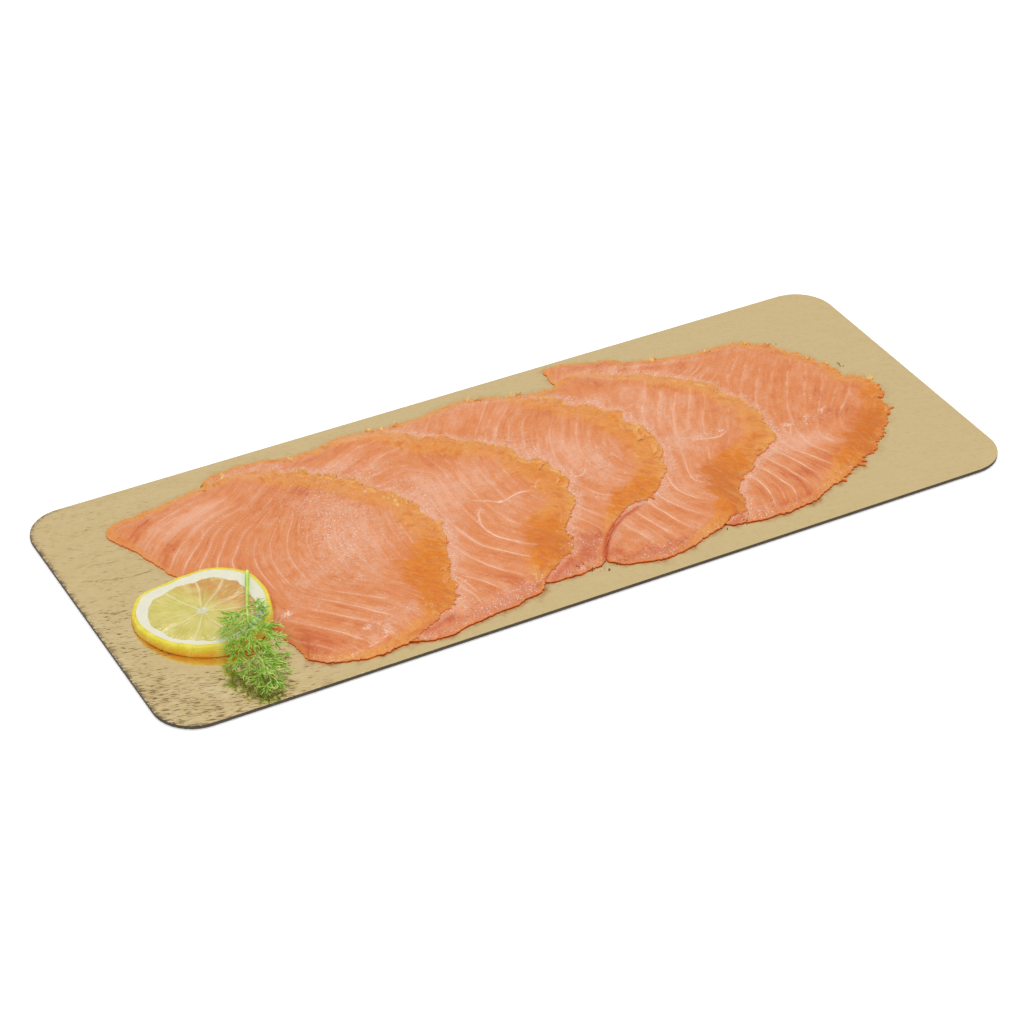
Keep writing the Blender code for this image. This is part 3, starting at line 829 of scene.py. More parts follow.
# For each slice, its lines of fat: level, how clear it is at its start and at its end, and points along it.
# Levels rise from one line to the next, and the flake value is whole on them.
FAT_LINES = {
    1: [
        (0, 0.3, 0.3, (-165, 38), (-152, 48), (-138, 54), (-122, 58)),
        (1, 0.4, 0.4, (-164, 26), (-152, 38), (-137, 46), (-119, 51)),
        (2, 0.9, 0.6, (-160, 15), (-150, 26), (-139, 36), (-126, 43), (-111, 47)),
        (3, 1, 0.7, (-156, 10), (-150, 17), (-143, 24), (-136, 31), (-127, 38), (-114, 42)),
        (4, 1, 0.8, (-149, 7), (-145, 13), (-138, 21), (-132, 29), (-123, 36)),
        (5, 1, 0.8, (-141, 5), (-138, 12), (-132, 20), (-126, 28), (-117, 34)),
        (6, 0.9, 0.7, (-134, 0), (-133, 8), (-128, 15), (-121, 24), (-111, 31)),
        (7, 0.6, 0.7, (-125, -22), (-125.5, -10), (-125, 0), (-122, 11), (-115, 21)),
        (8, 0.5, 0.5, (-118, -22), (-118.5, -8), (-117.5, 2), (-114, 12), (-106, 22)),
        (9, 0.5, 0.3, (-110, -22), (-111, -5), (-109, 5), (-104, 15), (-95, 26)),
        (10, 0.3, 0.2, (-101, -20), (-102, -5), (-100, 5), (-94, 16)),
        (7, 0.7, 0.8, (-124, -30), (-116, -38), (-108, -47), (-99, -58)),
        (6, 0.8, 1, (-131, -36), (-127, -41), (-121, -48), (-113, -58), (-107, -68)),
        (5, 0.5, 0.6, (-134, -48), (-127, -58), (-119, -69)),
        (8, 0.6, 1, (-114, -29), (-105, -39), (-97, -50), (-90, -61)),
        (9, 0.4, 0.7, (-106, -28), (-97, -38), (-88, -50)),
        (13, 0, 0, (-78, -30), (-78, -5), (-74, 10), (-70, 18)), (15, 0, 0, (-62, -20), (-61, -5)),
    ],
    2: [
        (0, 0.8, 0.6, (-64, -46), (-58, -52), (-55, -60), (-55, -68)),
        (1, 1, 0.8, (-54, -46), (-47, -54), (-43, -62)),
        (2, 0.2, 0.8, (-50, 5), (-48, -15), (-45, -34), (-39, -48), (-31, -59)),
        (3, 0.3, 1, (-40, 18), (-41, 0), (-40, -16), (-38, -28), (-35, -36), (-29, -44), (-22, -52),
         (-17, -57)),
        (4, 0.5, 0.8, (-31, 20), (-32, 5), (-32, -10), (-31, -24), (-28, -32), (-21, -41), (-10, -48)),
        (5, 0.6, 0.5, (-22, 22), (-23, 6), (-22, -8), (-20, -20), (-14, -31), (-4, -40)),
        (6, 0.4, 0.3, (-12, 22), (-13, 5), (-12, -10), (-8, -22), (0, -32)),
        (7, 0.3, 0.2, (-3, 14), (-3, 0), (-1, -14)), (3, 0.4, 0.4, (-70, 50), (-56, 56), (-42, 58)),
        (4, 0.4, 0.4, (-60, 40), (-46, 46), (-34, 48)),
    ],
    3: [
        (0, 0.4, 0.3, (0, 60), (-10, 48), (-18, 34)), (1, 0.5, 0.4, (12, 57), (2, 46), (-6, 34)),
        (2, 0.5, 0.4, (22, 54), (11, 43), (4, 32), (1, 15), (2, -10), (8, -30), (14, -44), (20, -54)),
        (3, 0.4, 0.6, (30, 47), (20, 37), (14, 22), (12, 5), (12, -12), (14, -27), (19, -37), (27, -43)),
        (4, 0.3, 0.5, (38, 40), (29, 28), (23, 15), (21, 0), (22, -13), (27, -24), (36, -31)),
        (5, 0.3, 0.4, (46, 33), (38, 20), (33, 8), (32, -5), (35, -17), (42, -26)),
        (6, 0.3, 0.3, (52, 22), (46, 10), (44, 0), (46, -12)), (1, 0.3, 0.3, (-14, -20), (-8, -40), (0, -54)),
        (0, 0.3, 0.3, (-26, -25), (-22, -45), (-14, -60)),
    ],
    4: [
        (0, 0.1, 1.2, (24, -10), (23, -30), (24, -42), (25, -50), (27, -57), (29, -66)),
        (1, 0.1, 1.3, (36, 0), (32, -20), (32, -35), (34, -45), (37, -57), (40, -67)),
        (2, 0.1, 1.2, (48, 20), (42, 0), (40, -20), (41, -35), (43, -45), (46, -57), (50, -65)),
        (3, 0.1, 1.1, (72, 48), (60, 28), (53, 5), (49, -18), (48, -36), (52, -47), (56, -55), (60, -61)),
        (4, 0.1, 1, (84, 38), (72, 20), (65, 0), (60, -18), (57, -34), (60, -43), (65, -51)),
        (5, 0.2, 0.8, (94, 28), (84, 14), (77, 0), (71, -16), (66, -33), (71, -43)),
        (6, 0.2, 0.5, (100, 14), (91, 0), (85, -14), (78, -28)),
        (7, 0.2, 0.3, (104, 0), (98, -10), (91, -22)), (2, 0.3, 0.3, (30, 50), (18, 30)),
    ],
    5: [
        (0, 0.3, 1.1, (84, -8), (85, -24), (89, -38), (91, -46), (91, -54), (89, -63)),
        (1, 0.3, 1.3, (92, 2), (92, -16), (95, -32), (98, -40), (100, -50), (101, -58), (98, -68)),
        (2, 0.1, 1.1, (108, 34), (99, 20), (98, 4), (99, -14), (104, -35), (107, -45), (109, -55),
         (109, -63)),
        (3, 0.1, 1.1, (122, 30), (113, 16), (109, 0), (108, -14), (110, -28), (113, -38), (116, -50),
         (118, -58)),
        (4, 0.1, 1, (136, 26), (126, 12), (120, 0), (118, -14), (117, -29), (121, -39), (124, -46),
         (128, -55)),
        (5, 0.1, 0.9, (148, 20), (140, 8), (133, -4), (128, -17), (126, -31), (130, -42), (136, -51)),
        (6, 0.2, 0.7, (158, 6), (150, -4), (141, -16), (134, -29), (140, -42)),
        (7, 0.2, 0.3, (166, -4), (158, -12), (150, -20), (146, -30)),
        (1, 0.4, 0.3, (110, 45), (98, 38), (86, 22)),
    ],
}

# Single bright lines of fat off that pattern: half width, how clear at start and end, and points.
THREADS = {
    1: [
        (0.5, 0.9, 0.9, (-128, -69), (-118, -71.5), (-106, -70), (-94, -66)),
        (0.4, 0.7, 0.7, (-137, 31), (-133.5, 36.5)),
    ],
    2: [
        (0.6, 1, 1, (-26.5, -10.5), (-29.5, -16), (-31, -23), (-29, -31), (-24, -37), (-20, -41)),
        (0.5, 0.9, 0.9, (-28, -2), (-20, -7), (-15.5, -10), (-10, -8.5), (-5, -7.5), (2, -9)),
        (0.5, 0.8, 0.8, (2, -8), (5, -4), (9, -2.5)), (0.4, 0.6, 0.6, (-57, -44), (-54, -52), (-53, -60)),
    ],
    3: [(0.6, 0.9, 0.9, (28, 63), (34, 58), (42, 54)), (0.5, 0.7, 0.7, (20, -3), (26, -7), (31, -1))],
    4: [(0.5, 0.8, 0.8, (76, -4), (84, -10), (92, -12), (97, -10))],
    5: [
        (0.5, 0.9, 0.9, (122, -24), (126, -17), (128, -14)),
        (0.5, 0.8, 0.8, (134, -17), (137, -13), (139, -12)),
        (0.5, 0.8, 0.8, (143, -16), (146, -12), (149, -11)), (0.5, 0.6, 0.6, (153, -16), (157, -13)),
        (0.45, 0.5, 0.5, (116, 20), (118, 12), (116, 6)),
    ],
}

# Round each slice, stations of the smoked edge: place, how wide it is, and how strong, from 0 to about 1.3.
SMOKED_EDGE = {
    1: [
        (-171, 50, 3, 0.3), (-158, 58, 5, 0.75), (-138, 62, 4, 0.45), (-112, 65, 7, 0.55), (-92, 60, 15, 0.7),
        (-76, 47, 16, 0.66), (-62, 34, 15, 0.62), (-54, 18, 14, 0.6), (-49, 4, 14, 0.6), (-46, -12, 15, 0.66),
        (-51, -27, 15, 0.9), (-57, -40, 20, 1.02), (-61, -54, 22, 1.08), (-67, -63, 17, 1.1),
        (-80, -70, 6, 0.6), (-110, -75, 4, 0.55), (-128, -68, 3, 0.3), (-137, -35, 1.5, 0.1),
        (-155, 8, 1.5, 0.25), (-165, 35, 2, 0.25),
    ],
    2: [
        (-116, 67, 3, 0.6), (-82, 68, 4, 0.55), (-45, 66, 10, 0.6), (-26, 53, 18, 0.72), (-10, 40, 17, 0.72),
        (3, 28, 13, 0.62), (12, 14, 15, 0.7), (18, 0, 17, 0.76), (17, -12, 15, 0.72), (9, -28, 13, 0.66),
        (-1, -40, 18, 1.08), (-6, -52, 20, 1.25), (-18, -60, 14, 1), (-30, -70, 3, 0.15), (-70, -76, 3, 0.1),
        (-100, -20, 3, 0.1),
    ],
    3: [
        (-58, 68, 3, 0.4), (-10, 68, 4, 0.45), (22, 64, 9, 0.66), (38, 54, 15, 0.72), (50, 40, 12, 0.66),
        (60, 26, 14, 0.7), (66, 4, 16, 0.74), (65, -8, 14, 0.74), (58, -21, 13, 0.66), (46, -34, 12, 1.05),
        (30, -37, 8, 1.05), (15, -48, 3, 0.3), (0, -63, 3, 0.2), (-30, -55, 3, 0.1), (-50, 20, 3, 0.1),
    ],
    4: [
        (-2, 66, 3, 0.3), (40, 63, 4, 0.55), (58, 65, 4, 0.5), (76, 56, 8, 0.4), (93, 46, 12, 0.62),
        (108, 30, 12, 0.66), (118, 6, 11, 0.62), (116, -15, 13, 0.66), (105, -27, 13, 0.72),
        (88, -40, 18, 1.2), (79, -50, 20, 1.35), (74, -60, 15, 1.35), (58, -66, 5, 0.5), (33, -73, 3, 0.2),
        (8, -62, 3, 0.2), (20, -35, 3, 0.1),
    ],
    5: [
        (56, 76, 3, 0.3), (76, 72, 3, 0.4), (100, 60, 4, 0.4), (130, 55, 5, 0.5), (150, 48, 6, 0.6),
        (164, 30, 7, 0.66), (173, 8, 8, 0.66), (180, -3, 9, 0.8), (174, -20, 10, 1), (166, -33, 14, 1.3),
        (148, -48, 15, 1.25), (132, -56, 11, 0.85), (115, -63, 4, 0.35), (100, -69, 3, 0.25),
        (76, -68, 3, 0.2), (60, -20, 3, 0.1),
    ],
}

# Patches: place, half length, half width, turn in degrees and amount. A plus is paler flesh, a minus deeper.
PATCHES = {
    1: [
        (-138, 46, 20, 10, 28, 1.2), (-85, -25, 14, 10, 0, -0.4), (-132, 48, 20, 4, 20, 0.9),
        (-150, 42, 18, 2.6, 33, -0.5), (-126, 54, 16, 2.4, 12, -0.6), (-150, 32, 12, 3, 42, -0.6),
        (-160, 46, 8, 3, 40, -0.7), (-132, -58, 8, 10, 0, -1.4), (-135, -42, 3, 10, -8, -0.9),
        (-84, 38, 15, 5, -35, -0.8), (-75, 2, 9, 24, 0, 0.8), (-95, -8, 14, 16, 0, 0.7),
        (-84, -28, 10, 14, 0, 0.6), (-92, -62, 18, 5, 10, 0.5), (-104, -45, 16, 8, -40, 0.1),
        (-115, 12, 12, 16, 0, -0.1), (-110, -72, 20, 3, 0, -0.5),
    ],
    2: [
        (-45, -70, 16, 5, 5, -0.6), (-10, -60, 12, 9, 20, -1.7), (-22, 10, 18, 12, 0, 0.9),
        (-38, 0, 9, 22, 0, 0.8), (-16, -18, 10, 14, 0, 0.5), (-45, -28, 9, 12, -30, 0.5),
        (-25, 38, 9, 7, -20, -0.6), (-12, -62, 12, 4, 10, -0.9), (-30, -66, 12, 4, 10, -0.6),
        (-62, -72, 24, 4, 0, -0.4), (-76, -66, 10, 5, 0, -1.2), (-50, -48, 9, 7, -30, -0.1),
        (-66, 52, 22, 5, 0, 0.6), (-90, 60, 24, 2, 0, -0.5),
    ],
    3: [
        (5, -52, 9, 7, 30, -0.6), (35, 5, 12, 12, 0, -0.3), (26, 10, 14, 16, 0, 0.9), (36, 2, 8, 16, 0, 0.5),
        (5, -51, 8, 11, 30, -1.3), (34, 42, 8, 6, -30, -0.5), (12, -34, 6, 10, -20, 0.3),
        (10, 46, 14, 8, 30, 0.3), (-14, -60, 12, 6, 0, -1), (-2, 58, 24, 5, 0, 0.3), (24, -26, 8, 8, 0, 0.2),
    ],
    4: [
        (30, -71, 22, 6, 3, -1.4), (65, 40, 16, 10, -20, 0.7), (80, 10, 12, 10, 0, -0.4),
        (80, 8, 16, 22, 0, 0.9), (60, 30, 10, 16, 30, 0.3), (66, 46, 16, 8, 10, -0.3),
        (92, -14, 12, 7, 0, -0.1), (52, -38, 14, 6, 10, 0.6), (30, -46, 14, 10, 0, 0.2),
        (30, -71, 24, 3.5, 0, -0.6), (62, -64, 7, 3, 20, -1.6), (10, -62, 4, 8, -20, -0.7),
        (60, -54, 8, 6, 0, -0.3), (20, -58, 8, 8, 0, -0.2),
    ],
    5: [
        (122, -29, 20, 7, -6, 1.3), (150, -19, 16, 6, -8, -0.7), (142, 12, 16, 12, 0, -0.1),
        (122, 34, 14, 8, -10, 0.2), (116, -50, 18, 5, 10, -0.5), (132, -44, 10, 4, 20, -0.4),
        (96, 58, 26, 2, -17, 0.8), (100, 62, 26, 1.6, -16, -0.8), (84, -66, 12, 4, 0, -0.5),
        (104, -66, 14, 3, 8, -0.5), (70, 66, 12, 3, -6, 0.3),
    ],
}

# Painted shadow: dark red lines in the crevices where slices' edges meet, partly the darker red of the cut
# edge: half width, strength at start and end, and points.
SEAM_SHADOWS = {
    1: [
        (1, 0.5, 0.3, (-92, -72), (-84, -71), (-74, -67)),
        (0.8, 0.5, 0.4, (-137, -48), (-136.5, -58), (-134, -67)),
    ],
    2: [
        (1.2, 0.6, 0.5, (-86, -73), (-76, -71), (-66, -67)),
        (0.9, 0.5, 0.5, (-32, -68), (-22, -63), (-12, -58)),
    ],
    3: [
        (1, 0.7, 0.9, (3, -68), (8, -58), (15, -49), (27, -40), (38, -36)),
        (1.2, 0.6, 0.3, (-22, -66), (-12, -60), (-3, -55)),
    ],
    4: [
        (1.1, 0.9, 0.7, (3, -68), (9, -58), (16, -49), (28, -41), (42, -37)),
        (1, 0.8, 0.6, (56, -69), (64, -66), (72, -61)),
    ],
    5: [
        (1.5, 0.8, 0.4, (56, -69), (64, -67), (74, -64)), (0.8, 0.3, 0.5, (126, -60), (140, -53), (152, -46)),
    ],
}

# Where flakes show as stripes, pale in the middle and deep between, partly their own colour and partly
# painted light and shade of their folds, as a patch is given.
STRIPED_SHADING = {
    1: [(-142, 42, 22, 12, 25, 0.35), (-152, 28, 14, 8, 40, 0.2), (-112, -52, 18, 16, -45, 0.5)],
    2: [(-40, -52, 22, 14, -30, 0.5), (-60, 48, 20, 10, 0, 0.5)],
    4: [(36, -54, 24, 16, 0, 0.5)],
    5: [(108, -48, 30, 16, 5, 0.35), (90, 58, 30, 8, -18, 0.6)],
}

# Where the flesh is wet, with painted sheen and painted glints, as a patch is given.
WET_SHEEN_PLACES = {
    1: [
        (-88, 8, 13, 30, -8, 1.1), (-74, 12, 8, 12, 0, 0.5), (-104, -62, 16, 7, 10, 0.6),
        (-132, -36, 7, 5, 20, 0.8), (-78, -60, 8, 6, 20, 0.6), (-118, -8, 8, 20, 0, 0.25),
        (-104, 36, 16, 8, -20, 0.35), (-150, 28, 12, 4, 40, 0.2),
    ],
    2: [
        (-46, -68, 16, 5, 8, 1), (-24, -62, 12, 5, 25, 0.9), (-44, 10, 6, 18, -10, 0.5),
        (-60, -56, 5, 10, 0, 0.5), (-58, 44, 14, 8, -20, 0.35), (-20, -6, 12, 8, 0, 0.3),
        (-5, -52, 8, 5, 30, 0.5),
    ],
    3: [
        (-8, -64, 12, 4, 10, 1), (14, 12, 6, 18, -15, 0.6), (10, 32, 8, 10, -20, 0.4),
        (6, -52, 8, 8, 20, 0.5), (26, -4, 10, 5, 0, 0.3),
    ],
    4: [
        (30, -69, 16, 5, 4, 0.3), (62, 10, 5, 18, -10, 0.5), (50, 48, 12, 5, -20, 0.4),
        (84, -8, 14, 5, 0, 0.5), (14, -56, 6, 10, -20, 0.3),
    ],
    5: [
        (80, -66, 14, 5, 0, 0.9), (112, 4, 5, 18, -10, 0.5), (128, -16, 24, 5, -5, 0.6),
        (112, -30, 18, 6, -5, 0.4), (88, 54, 18, 5, -20, 0.4),
    ],
}

# Painted glints: larger white spots on the wet flesh, as a patch is given.
GLINT_SPOTS = {
    1: [
        (-128, -35, 3, 2.2, 20, 1), (-103, -59, 2.6, 1.6, 20, 0.8), (-98, -65.5, 2.2, 1.3, 0, 0.9),
        (-123, -31, 2, 1, 30, 0.6), (-127.5, -69, 1, 2.2, 20, 0.8), (-116, -71.5, 3.5, 0.9, 5, 0.8),
        (-68, 13, 1.6, 2, 0, 0.6), (-90, -12, 2, 3.2, -20, 0.5), (-99, 33, 0.9, 3, -25, 0.7),
        (-62, 26.5, 1.2, 3, -25, 0.9), (-52.5, 18, 2, 1.4, 0, 1),
    ],
    2: [
        (-27, -12, 1.8, 2.4, -20, 0.9), (-15.5, -10, 1.8, 1, 0, 0.9), (-5, -7.5, 1.4, 1, 0, 0.7),
        (-58, -43, 1.2, 2.6, -30, 1), (-3, -49, 2.6, 1.6, -20, 0.9), (-45, -18, 1.4, 4, -25, 0.6),
        (-42, 10, 1.2, 3, -20, 0.6), (-46, -71, 4, 1.4, 10, 0.5), (-25, -64, 3, 1.6, 30, 0.5),
    ],
    3: [
        (15, 9, 1.6, 3, -20, 0.7), (24, -21, 1, 3, -20, 0.5), (-6, -64, 1.6, 2.6, -20, 0.7),
        (20, 10, 1, 3, -20, 0.5),
    ],
    4: [
        (84, -8, 2, 1.2, 10, 0.8), (95, -9, 1.6, 2.2, -30, 0.8), (72, -2, 1, 3, -20, 0.5),
        (33, -66, 4, 1, 5, 0.35),
    ],
    5: [
        (125, -15, 2.4, 1.3, -20, 0.9), (136, -14, 1.2, 1.8, 10, 0.7), (145, -12, 1.2, 2.2, -20, 0.8),
        (118, 3, 1.2, 2.4, -20, 0.8), (116, -26, 0.8, 2.5, -10, 0.5), (163, -8, 1.4, 2, -20, 0.6),
    ],
}


def curve_through(points, per_span):
    """A smooth curve through the points: a Catmull-Rom spline with this many steps between two of them."""
    ends = np.concatenate([2 * points[:1] - points[1:2], points, 2 * points[-1:] - points[-2:-1]])
    t = np.linspace(0, 1, per_span, endpoint=False)[:, None]
    spans = []
    for a, b, c, d in zip(ends[:-3], ends[1:-2], ends[2:-1], ends[3:]):
        square, cube = 2 * a - 5 * b + 4 * c - d, 3 * b - a - 3 * c + d
        spans.append(0.5 * (2 * b + (c - a) * t + square * t**2 + cube * t**3))
    return np.concatenate([*spans, points[-1:]])


def flake_values(lines, x, y):
    """A smooth surface near the fat lines' levels: a thin-plate spline, the sum of r^2 log r about each point
    and middle of a line, eased so that it needn't pass through every one."""
    ease = 6.0
    places, levels = [], []
    for level, _, _, *points in lines:
        points = np.array(points, float)
        middles = (points[1:] + points[:-1]) / 2
        for point in np.concatenate([points, middles]):
            places.append(point)
            levels.append(level)
    places, levels = np.array(places), np.array(levels, float)
    count = len(places)

    def bend(dx, dy):
        square = dx * dx + dy * dy
        return 0.5 * square * np.log(square + 1e-9)

    system = np.zeros((count + 3, count + 3))
    apart = places[:, None] - places[None]
    system[:count, :count] = bend(apart[..., 0], apart[..., 1]) + np.eye(count) * ease
    system[:count, count:] = np.column_stack([np.ones(count), places])
    system[count:, :count] = system[:count, count:].T
    weights = np.linalg.solve(system, np.concatenate([levels, np.zeros(3)]))
    value = weights[count] + weights[count + 1] * x + weights[count + 2] * y
    for place, weight in zip(places, weights):
        value = value + weight * bend(x - place[0], y - place[1])
    return value


def turned(x, y, degrees):
    """How far places lie along an axis turned this much, and how far to its left."""
    c, s = math.cos(math.radians(degrees)), math.sin(math.radians(degrees))
    return x * c + y * s, -x * s + y * c


def patch_values(patches, x, y):
    """The sum of the patches, each a bell-shaped oval."""
    total = np.zeros_like(x)
    for px, py, half_length, half_width, turn, amount in patches:
        along, aside = turned(x - px, y - py, turn)
        total += amount * np.exp(-((along / half_length) ** 2 + (aside / half_width) ** 2))
    return total


def thread_values(threads, x, y):
    """For each point, its distance to the nearest line, in half widths, and that line's strength there.

    Each line is half width, strength at its first and at its last point, and its points; it passes smoothly
    through them and tapers to nothing at its ends."""
    distance = np.full(x.shape, 9.0)
    amount = np.zeros_like(x)
    for half_width, first, last, *points in threads:
        points = curve_through(np.array(points, float), 5)
        reach = 8 * half_width
        low, high = points.min(0) - reach, points.max(0) + reach
        near = np.nonzero((x > low[0]) & (x < high[0]) & (y > low[1]) & (y < high[1]))
        px, py, best, here = x[near], y[near], distance[near], amount[near]
        before = run_of(points)
        steps = np.linalg.norm(np.diff(points, axis=0), axis=1)
        for k, (start, end) in enumerate(zip(points[:-1], points[1:])):
            direction = (end - start) / steps[k]
            dx, dy = px - start[0], py - start[1]
            held = np.clip(dx * direction[0] + dy * direction[1], 0, steps[k])
            away = np.hypot(dx - held * direction[0], dy - held * direction[1]) / half_width
            share = (before[k] + held) / before[-1]
            strength = (first + (last - first) * share) * smooth_step(np.minimum(share, 1 - share) * 6)
            nearer = away < best
            best = np.where(nearer, away, best)
            here = np.where(nearer, strength, here)
        distance[near], amount[near] = best, here
    return distance, amount


# How far each slice reaches beyond its solid at the back, in mm.
BACK_REACH = {1: 1.2, 2: 3.8, 3: 4.2, 4: 1.5, 5: 2.6}


def edge_stations(stations, rim):
    """Width and strength of the smoked edge at each rim point: blended along the rim between stations."""
    stations = np.array(stations, float)
    at = np.argmin(np.linalg.norm(rim[None] - stations[:, None, :2], axis=2), axis=1)
    order = np.argsort(at)
    values = stations[order, 2:].T
    return [np.interp(np.arange(len(rim)), at[order], value, period=len(rim)) for value in values]


def ragged_rim(number):
    """A slice's outline with its ragged edge, how long it is, and the width and strength of its smoked edge.
    The solid's outline moves outward by waves of several lengths, by tufts where the edge is smoked, by fine
    teeth, and by the reach at the back. The last slice's right side is rougher."""
    outline = rim_of(f"salmon_slice_{number}")
    outline = np.roll(outline, -int(np.argmin(outline[:, 0])), axis=0)
    if np.sum(outline[:, 0] * np.roll(outline[:, 1], -1) - outline[:, 1] * np.roll(outline[:, 0], -1)) < 0:
        outline = np.roll(outline[::-1], 1, axis=0)
    rim, around = evenly_round(outline, COLUMNS, 1.1)
    share = np.arange(COLUMNS) / COLUMNS
    stations = edge_stations(SMOKED_EDGE[number], rim)
    strength = stations[1]
    _, outward = along_and_outward(rim, 1)

    def waves(length, seed):
        return ring_noise(share, around / length, number + seed)

    jag = 0.5 * waves(12, 0) + 0.25 * waves(4.6, 20)
    here = np.clip(0.5 + waves(18, 30), 0, 1.4)
    tufts = np.clip(waves(4.0, 40) - 0.15, 0, 1.2) * here * strength
    teeth = 0.3 * waves(2.2, 60) * (0.3 + strength)
    right_side = smooth_step((outward[:, 0] - 0.3) / 0.4)
    rough = 1 + 0.6 * right_side * (number == SLICES)
    back = smooth_step((outward[:, 1] - 0.35) / 0.5) * BACK_REACH[number]
    reach = rough * ((0.5 + 0.4 * strength) * jag + 1.6 * tufts + teeth) + 0.1 + back
    return rim + outward * reach[:, None], around, stations


# ---- the salmon


COLUMNS = 840
TOP_ROWS = 80
SIDE_ROWS = 5
# How far out the rings of a slice's underside lie, from its middle to its rim.
UNDER_SHARES = (0.995, 0.97, 0.9, 0.75, 0.5, 0.25, 0.08)
FAT_HALF_WIDTH = 0.42


def rows_within(rim, middle, rows):
    """Rings from the middle out to the rim: straight rows first, then relaxed, each point moved to the
    average of its four neighbours, so that rows never cross where the outline turns inwards."""
    shares = (np.arange(1, rows + 1) / rows)[:, None, None]
    grid = middle + shares * (rim[None] - middle)
    for _ in range(120):
        inner = np.concatenate([np.broadcast_to(middle, (1, *rim.shape)), grid[:-2]])
        around = np.roll(grid[:-1], 1, axis=1) + np.roll(grid[:-1], -1, axis=1)
        grid[:-1] = (inner + grid[1:] + around) / 4
    return grid


def nearest_rim(points, rim):
    """Distance of each point from the rim, measured to the nearest of every third point of it, in parts that
    keep the arrays small."""
    flat = points.reshape(-1, 2).astype(np.float32)
    marks = rim[::3].astype(np.float32)
    found = []
    for part in np.array_split(flat, 24):
        gap = part[:, None] - marks[None]
        found.append(np.sqrt((gap * gap).sum(2).min(1)))
    return np.concatenate(found).reshape(points.shape[:-1])


# How the lemon lies: its tilt and turn in degrees, how far it has settled from its solid's place, its
# thickness, and its foot's middle, half length and half width.
LEMON_TILT, LEMON_TURN = 3.3, -6.0
LEMON_SETTLED = (1.4, 3.3, -2.75)
LEMON_THICKNESS = 5.2
LEMON_FOOT = (-157.9, -20.1, 28.3, 26.7)
LEMON_REST = BOARD_TOP + 0.16
# Left of the first place the underside lies on the board, and right of the second it keeps its plane.
LEMON_SAG = (-152.0, -130.0)


def lemon_middle():
    low, high = box_mm("lemon_slice")
    return (low + high) / 2 + np.array(LEMON_SETTLED)


def sagged(plane, x):
    """Height of the lemon's underside where its tilted plane has this height: at the left it sags to the
    board."""
    start, end = LEMON_SAG
    return LEMON_REST + (plane - LEMON_REST) * smooth_step((x - start) / (end - start))


def pressed_by_lemon(top, base, x, y):
    """The top of a sheet under the lemon's foot: pushed down to just below the lemon's underside."""
    middle = lemon_middle()
    plane = middle[2] - LEMON_THICKNESS / 2 + math.tan(math.radians(LEMON_TILT)) * (x - middle[0])
    gap, thinnest = 0.04, 0.35
    pressed = np.minimum(top, np.maximum(sagged(plane, x) - gap, base + thinnest))
    foot_x, foot_y, foot_length, foot_width = LEMON_FOOT
    out = np.hypot((x - foot_x) / foot_length, (y - foot_y) / foot_width)
    return top + (pressed - top) * smooth_step((1.04 - out) / 0.05)


def slice_top(number, fish, grid, distance, front, width, strength, traced, around):
    """How high a slice's top stands over its underside: its thickness, which grows by a smooth step of the
    distance from the rim, plus the bulge of each flake, which is the sine of the flake value to a power, less
    a groove at each line of fat, plus clouds, a rougher smoked band and a curled rim."""
    x, y = grid[..., 0], grid[..., 1]
    share = np.arange(COLUMNS) / COLUMNS
    body = smooth_step(distance / (fish.taper / MM)) ** 0.8
    rim_thick = fish.rim_thickness / MM + 0.95 * front * np.sqrt(np.clip(distance / 0.8, 0.15, 1))
    thick = rim_thick + (fish.thickness / MM - rim_thick) * body
    away, amount = thread_values(traced, x, y)
    bulge = np.abs(np.sin(math.pi * flake_values(FAT_LINES[number], x, y))) ** 0.7
    relief = fish.flake_relief / MM * bulge * 0.7 * body - 0.07 * amount * np.exp(-((away / 1.6) ** 2))
    relief += 0.2 * cloud_value(x, y, 5.5, 80 + number, 3) * (0.25 + 0.75 * body)
    relief += 0.45 * cloud_value(x, y, 26.0, 90 + number) * body
    in_band = 1 - smooth_step((distance / width - 0.55) / 0.6)
    blotch = cloud_value(share * around + 0 * x, distance * 0.7, 4.0, 120 + number, 3)
    relief += 0.22 * blotch * in_band * strength * smooth_step(distance / 1.5)
    relief += 0.25 * in_band * (strength - 0.3) * body
    curls = np.clip(ring_noise(share, around / 9.0, number + 60), 0, 2)
    relief += 0.25 * smooth_step(1 - distance / 3.0) * strength * curls
    return thick + relief


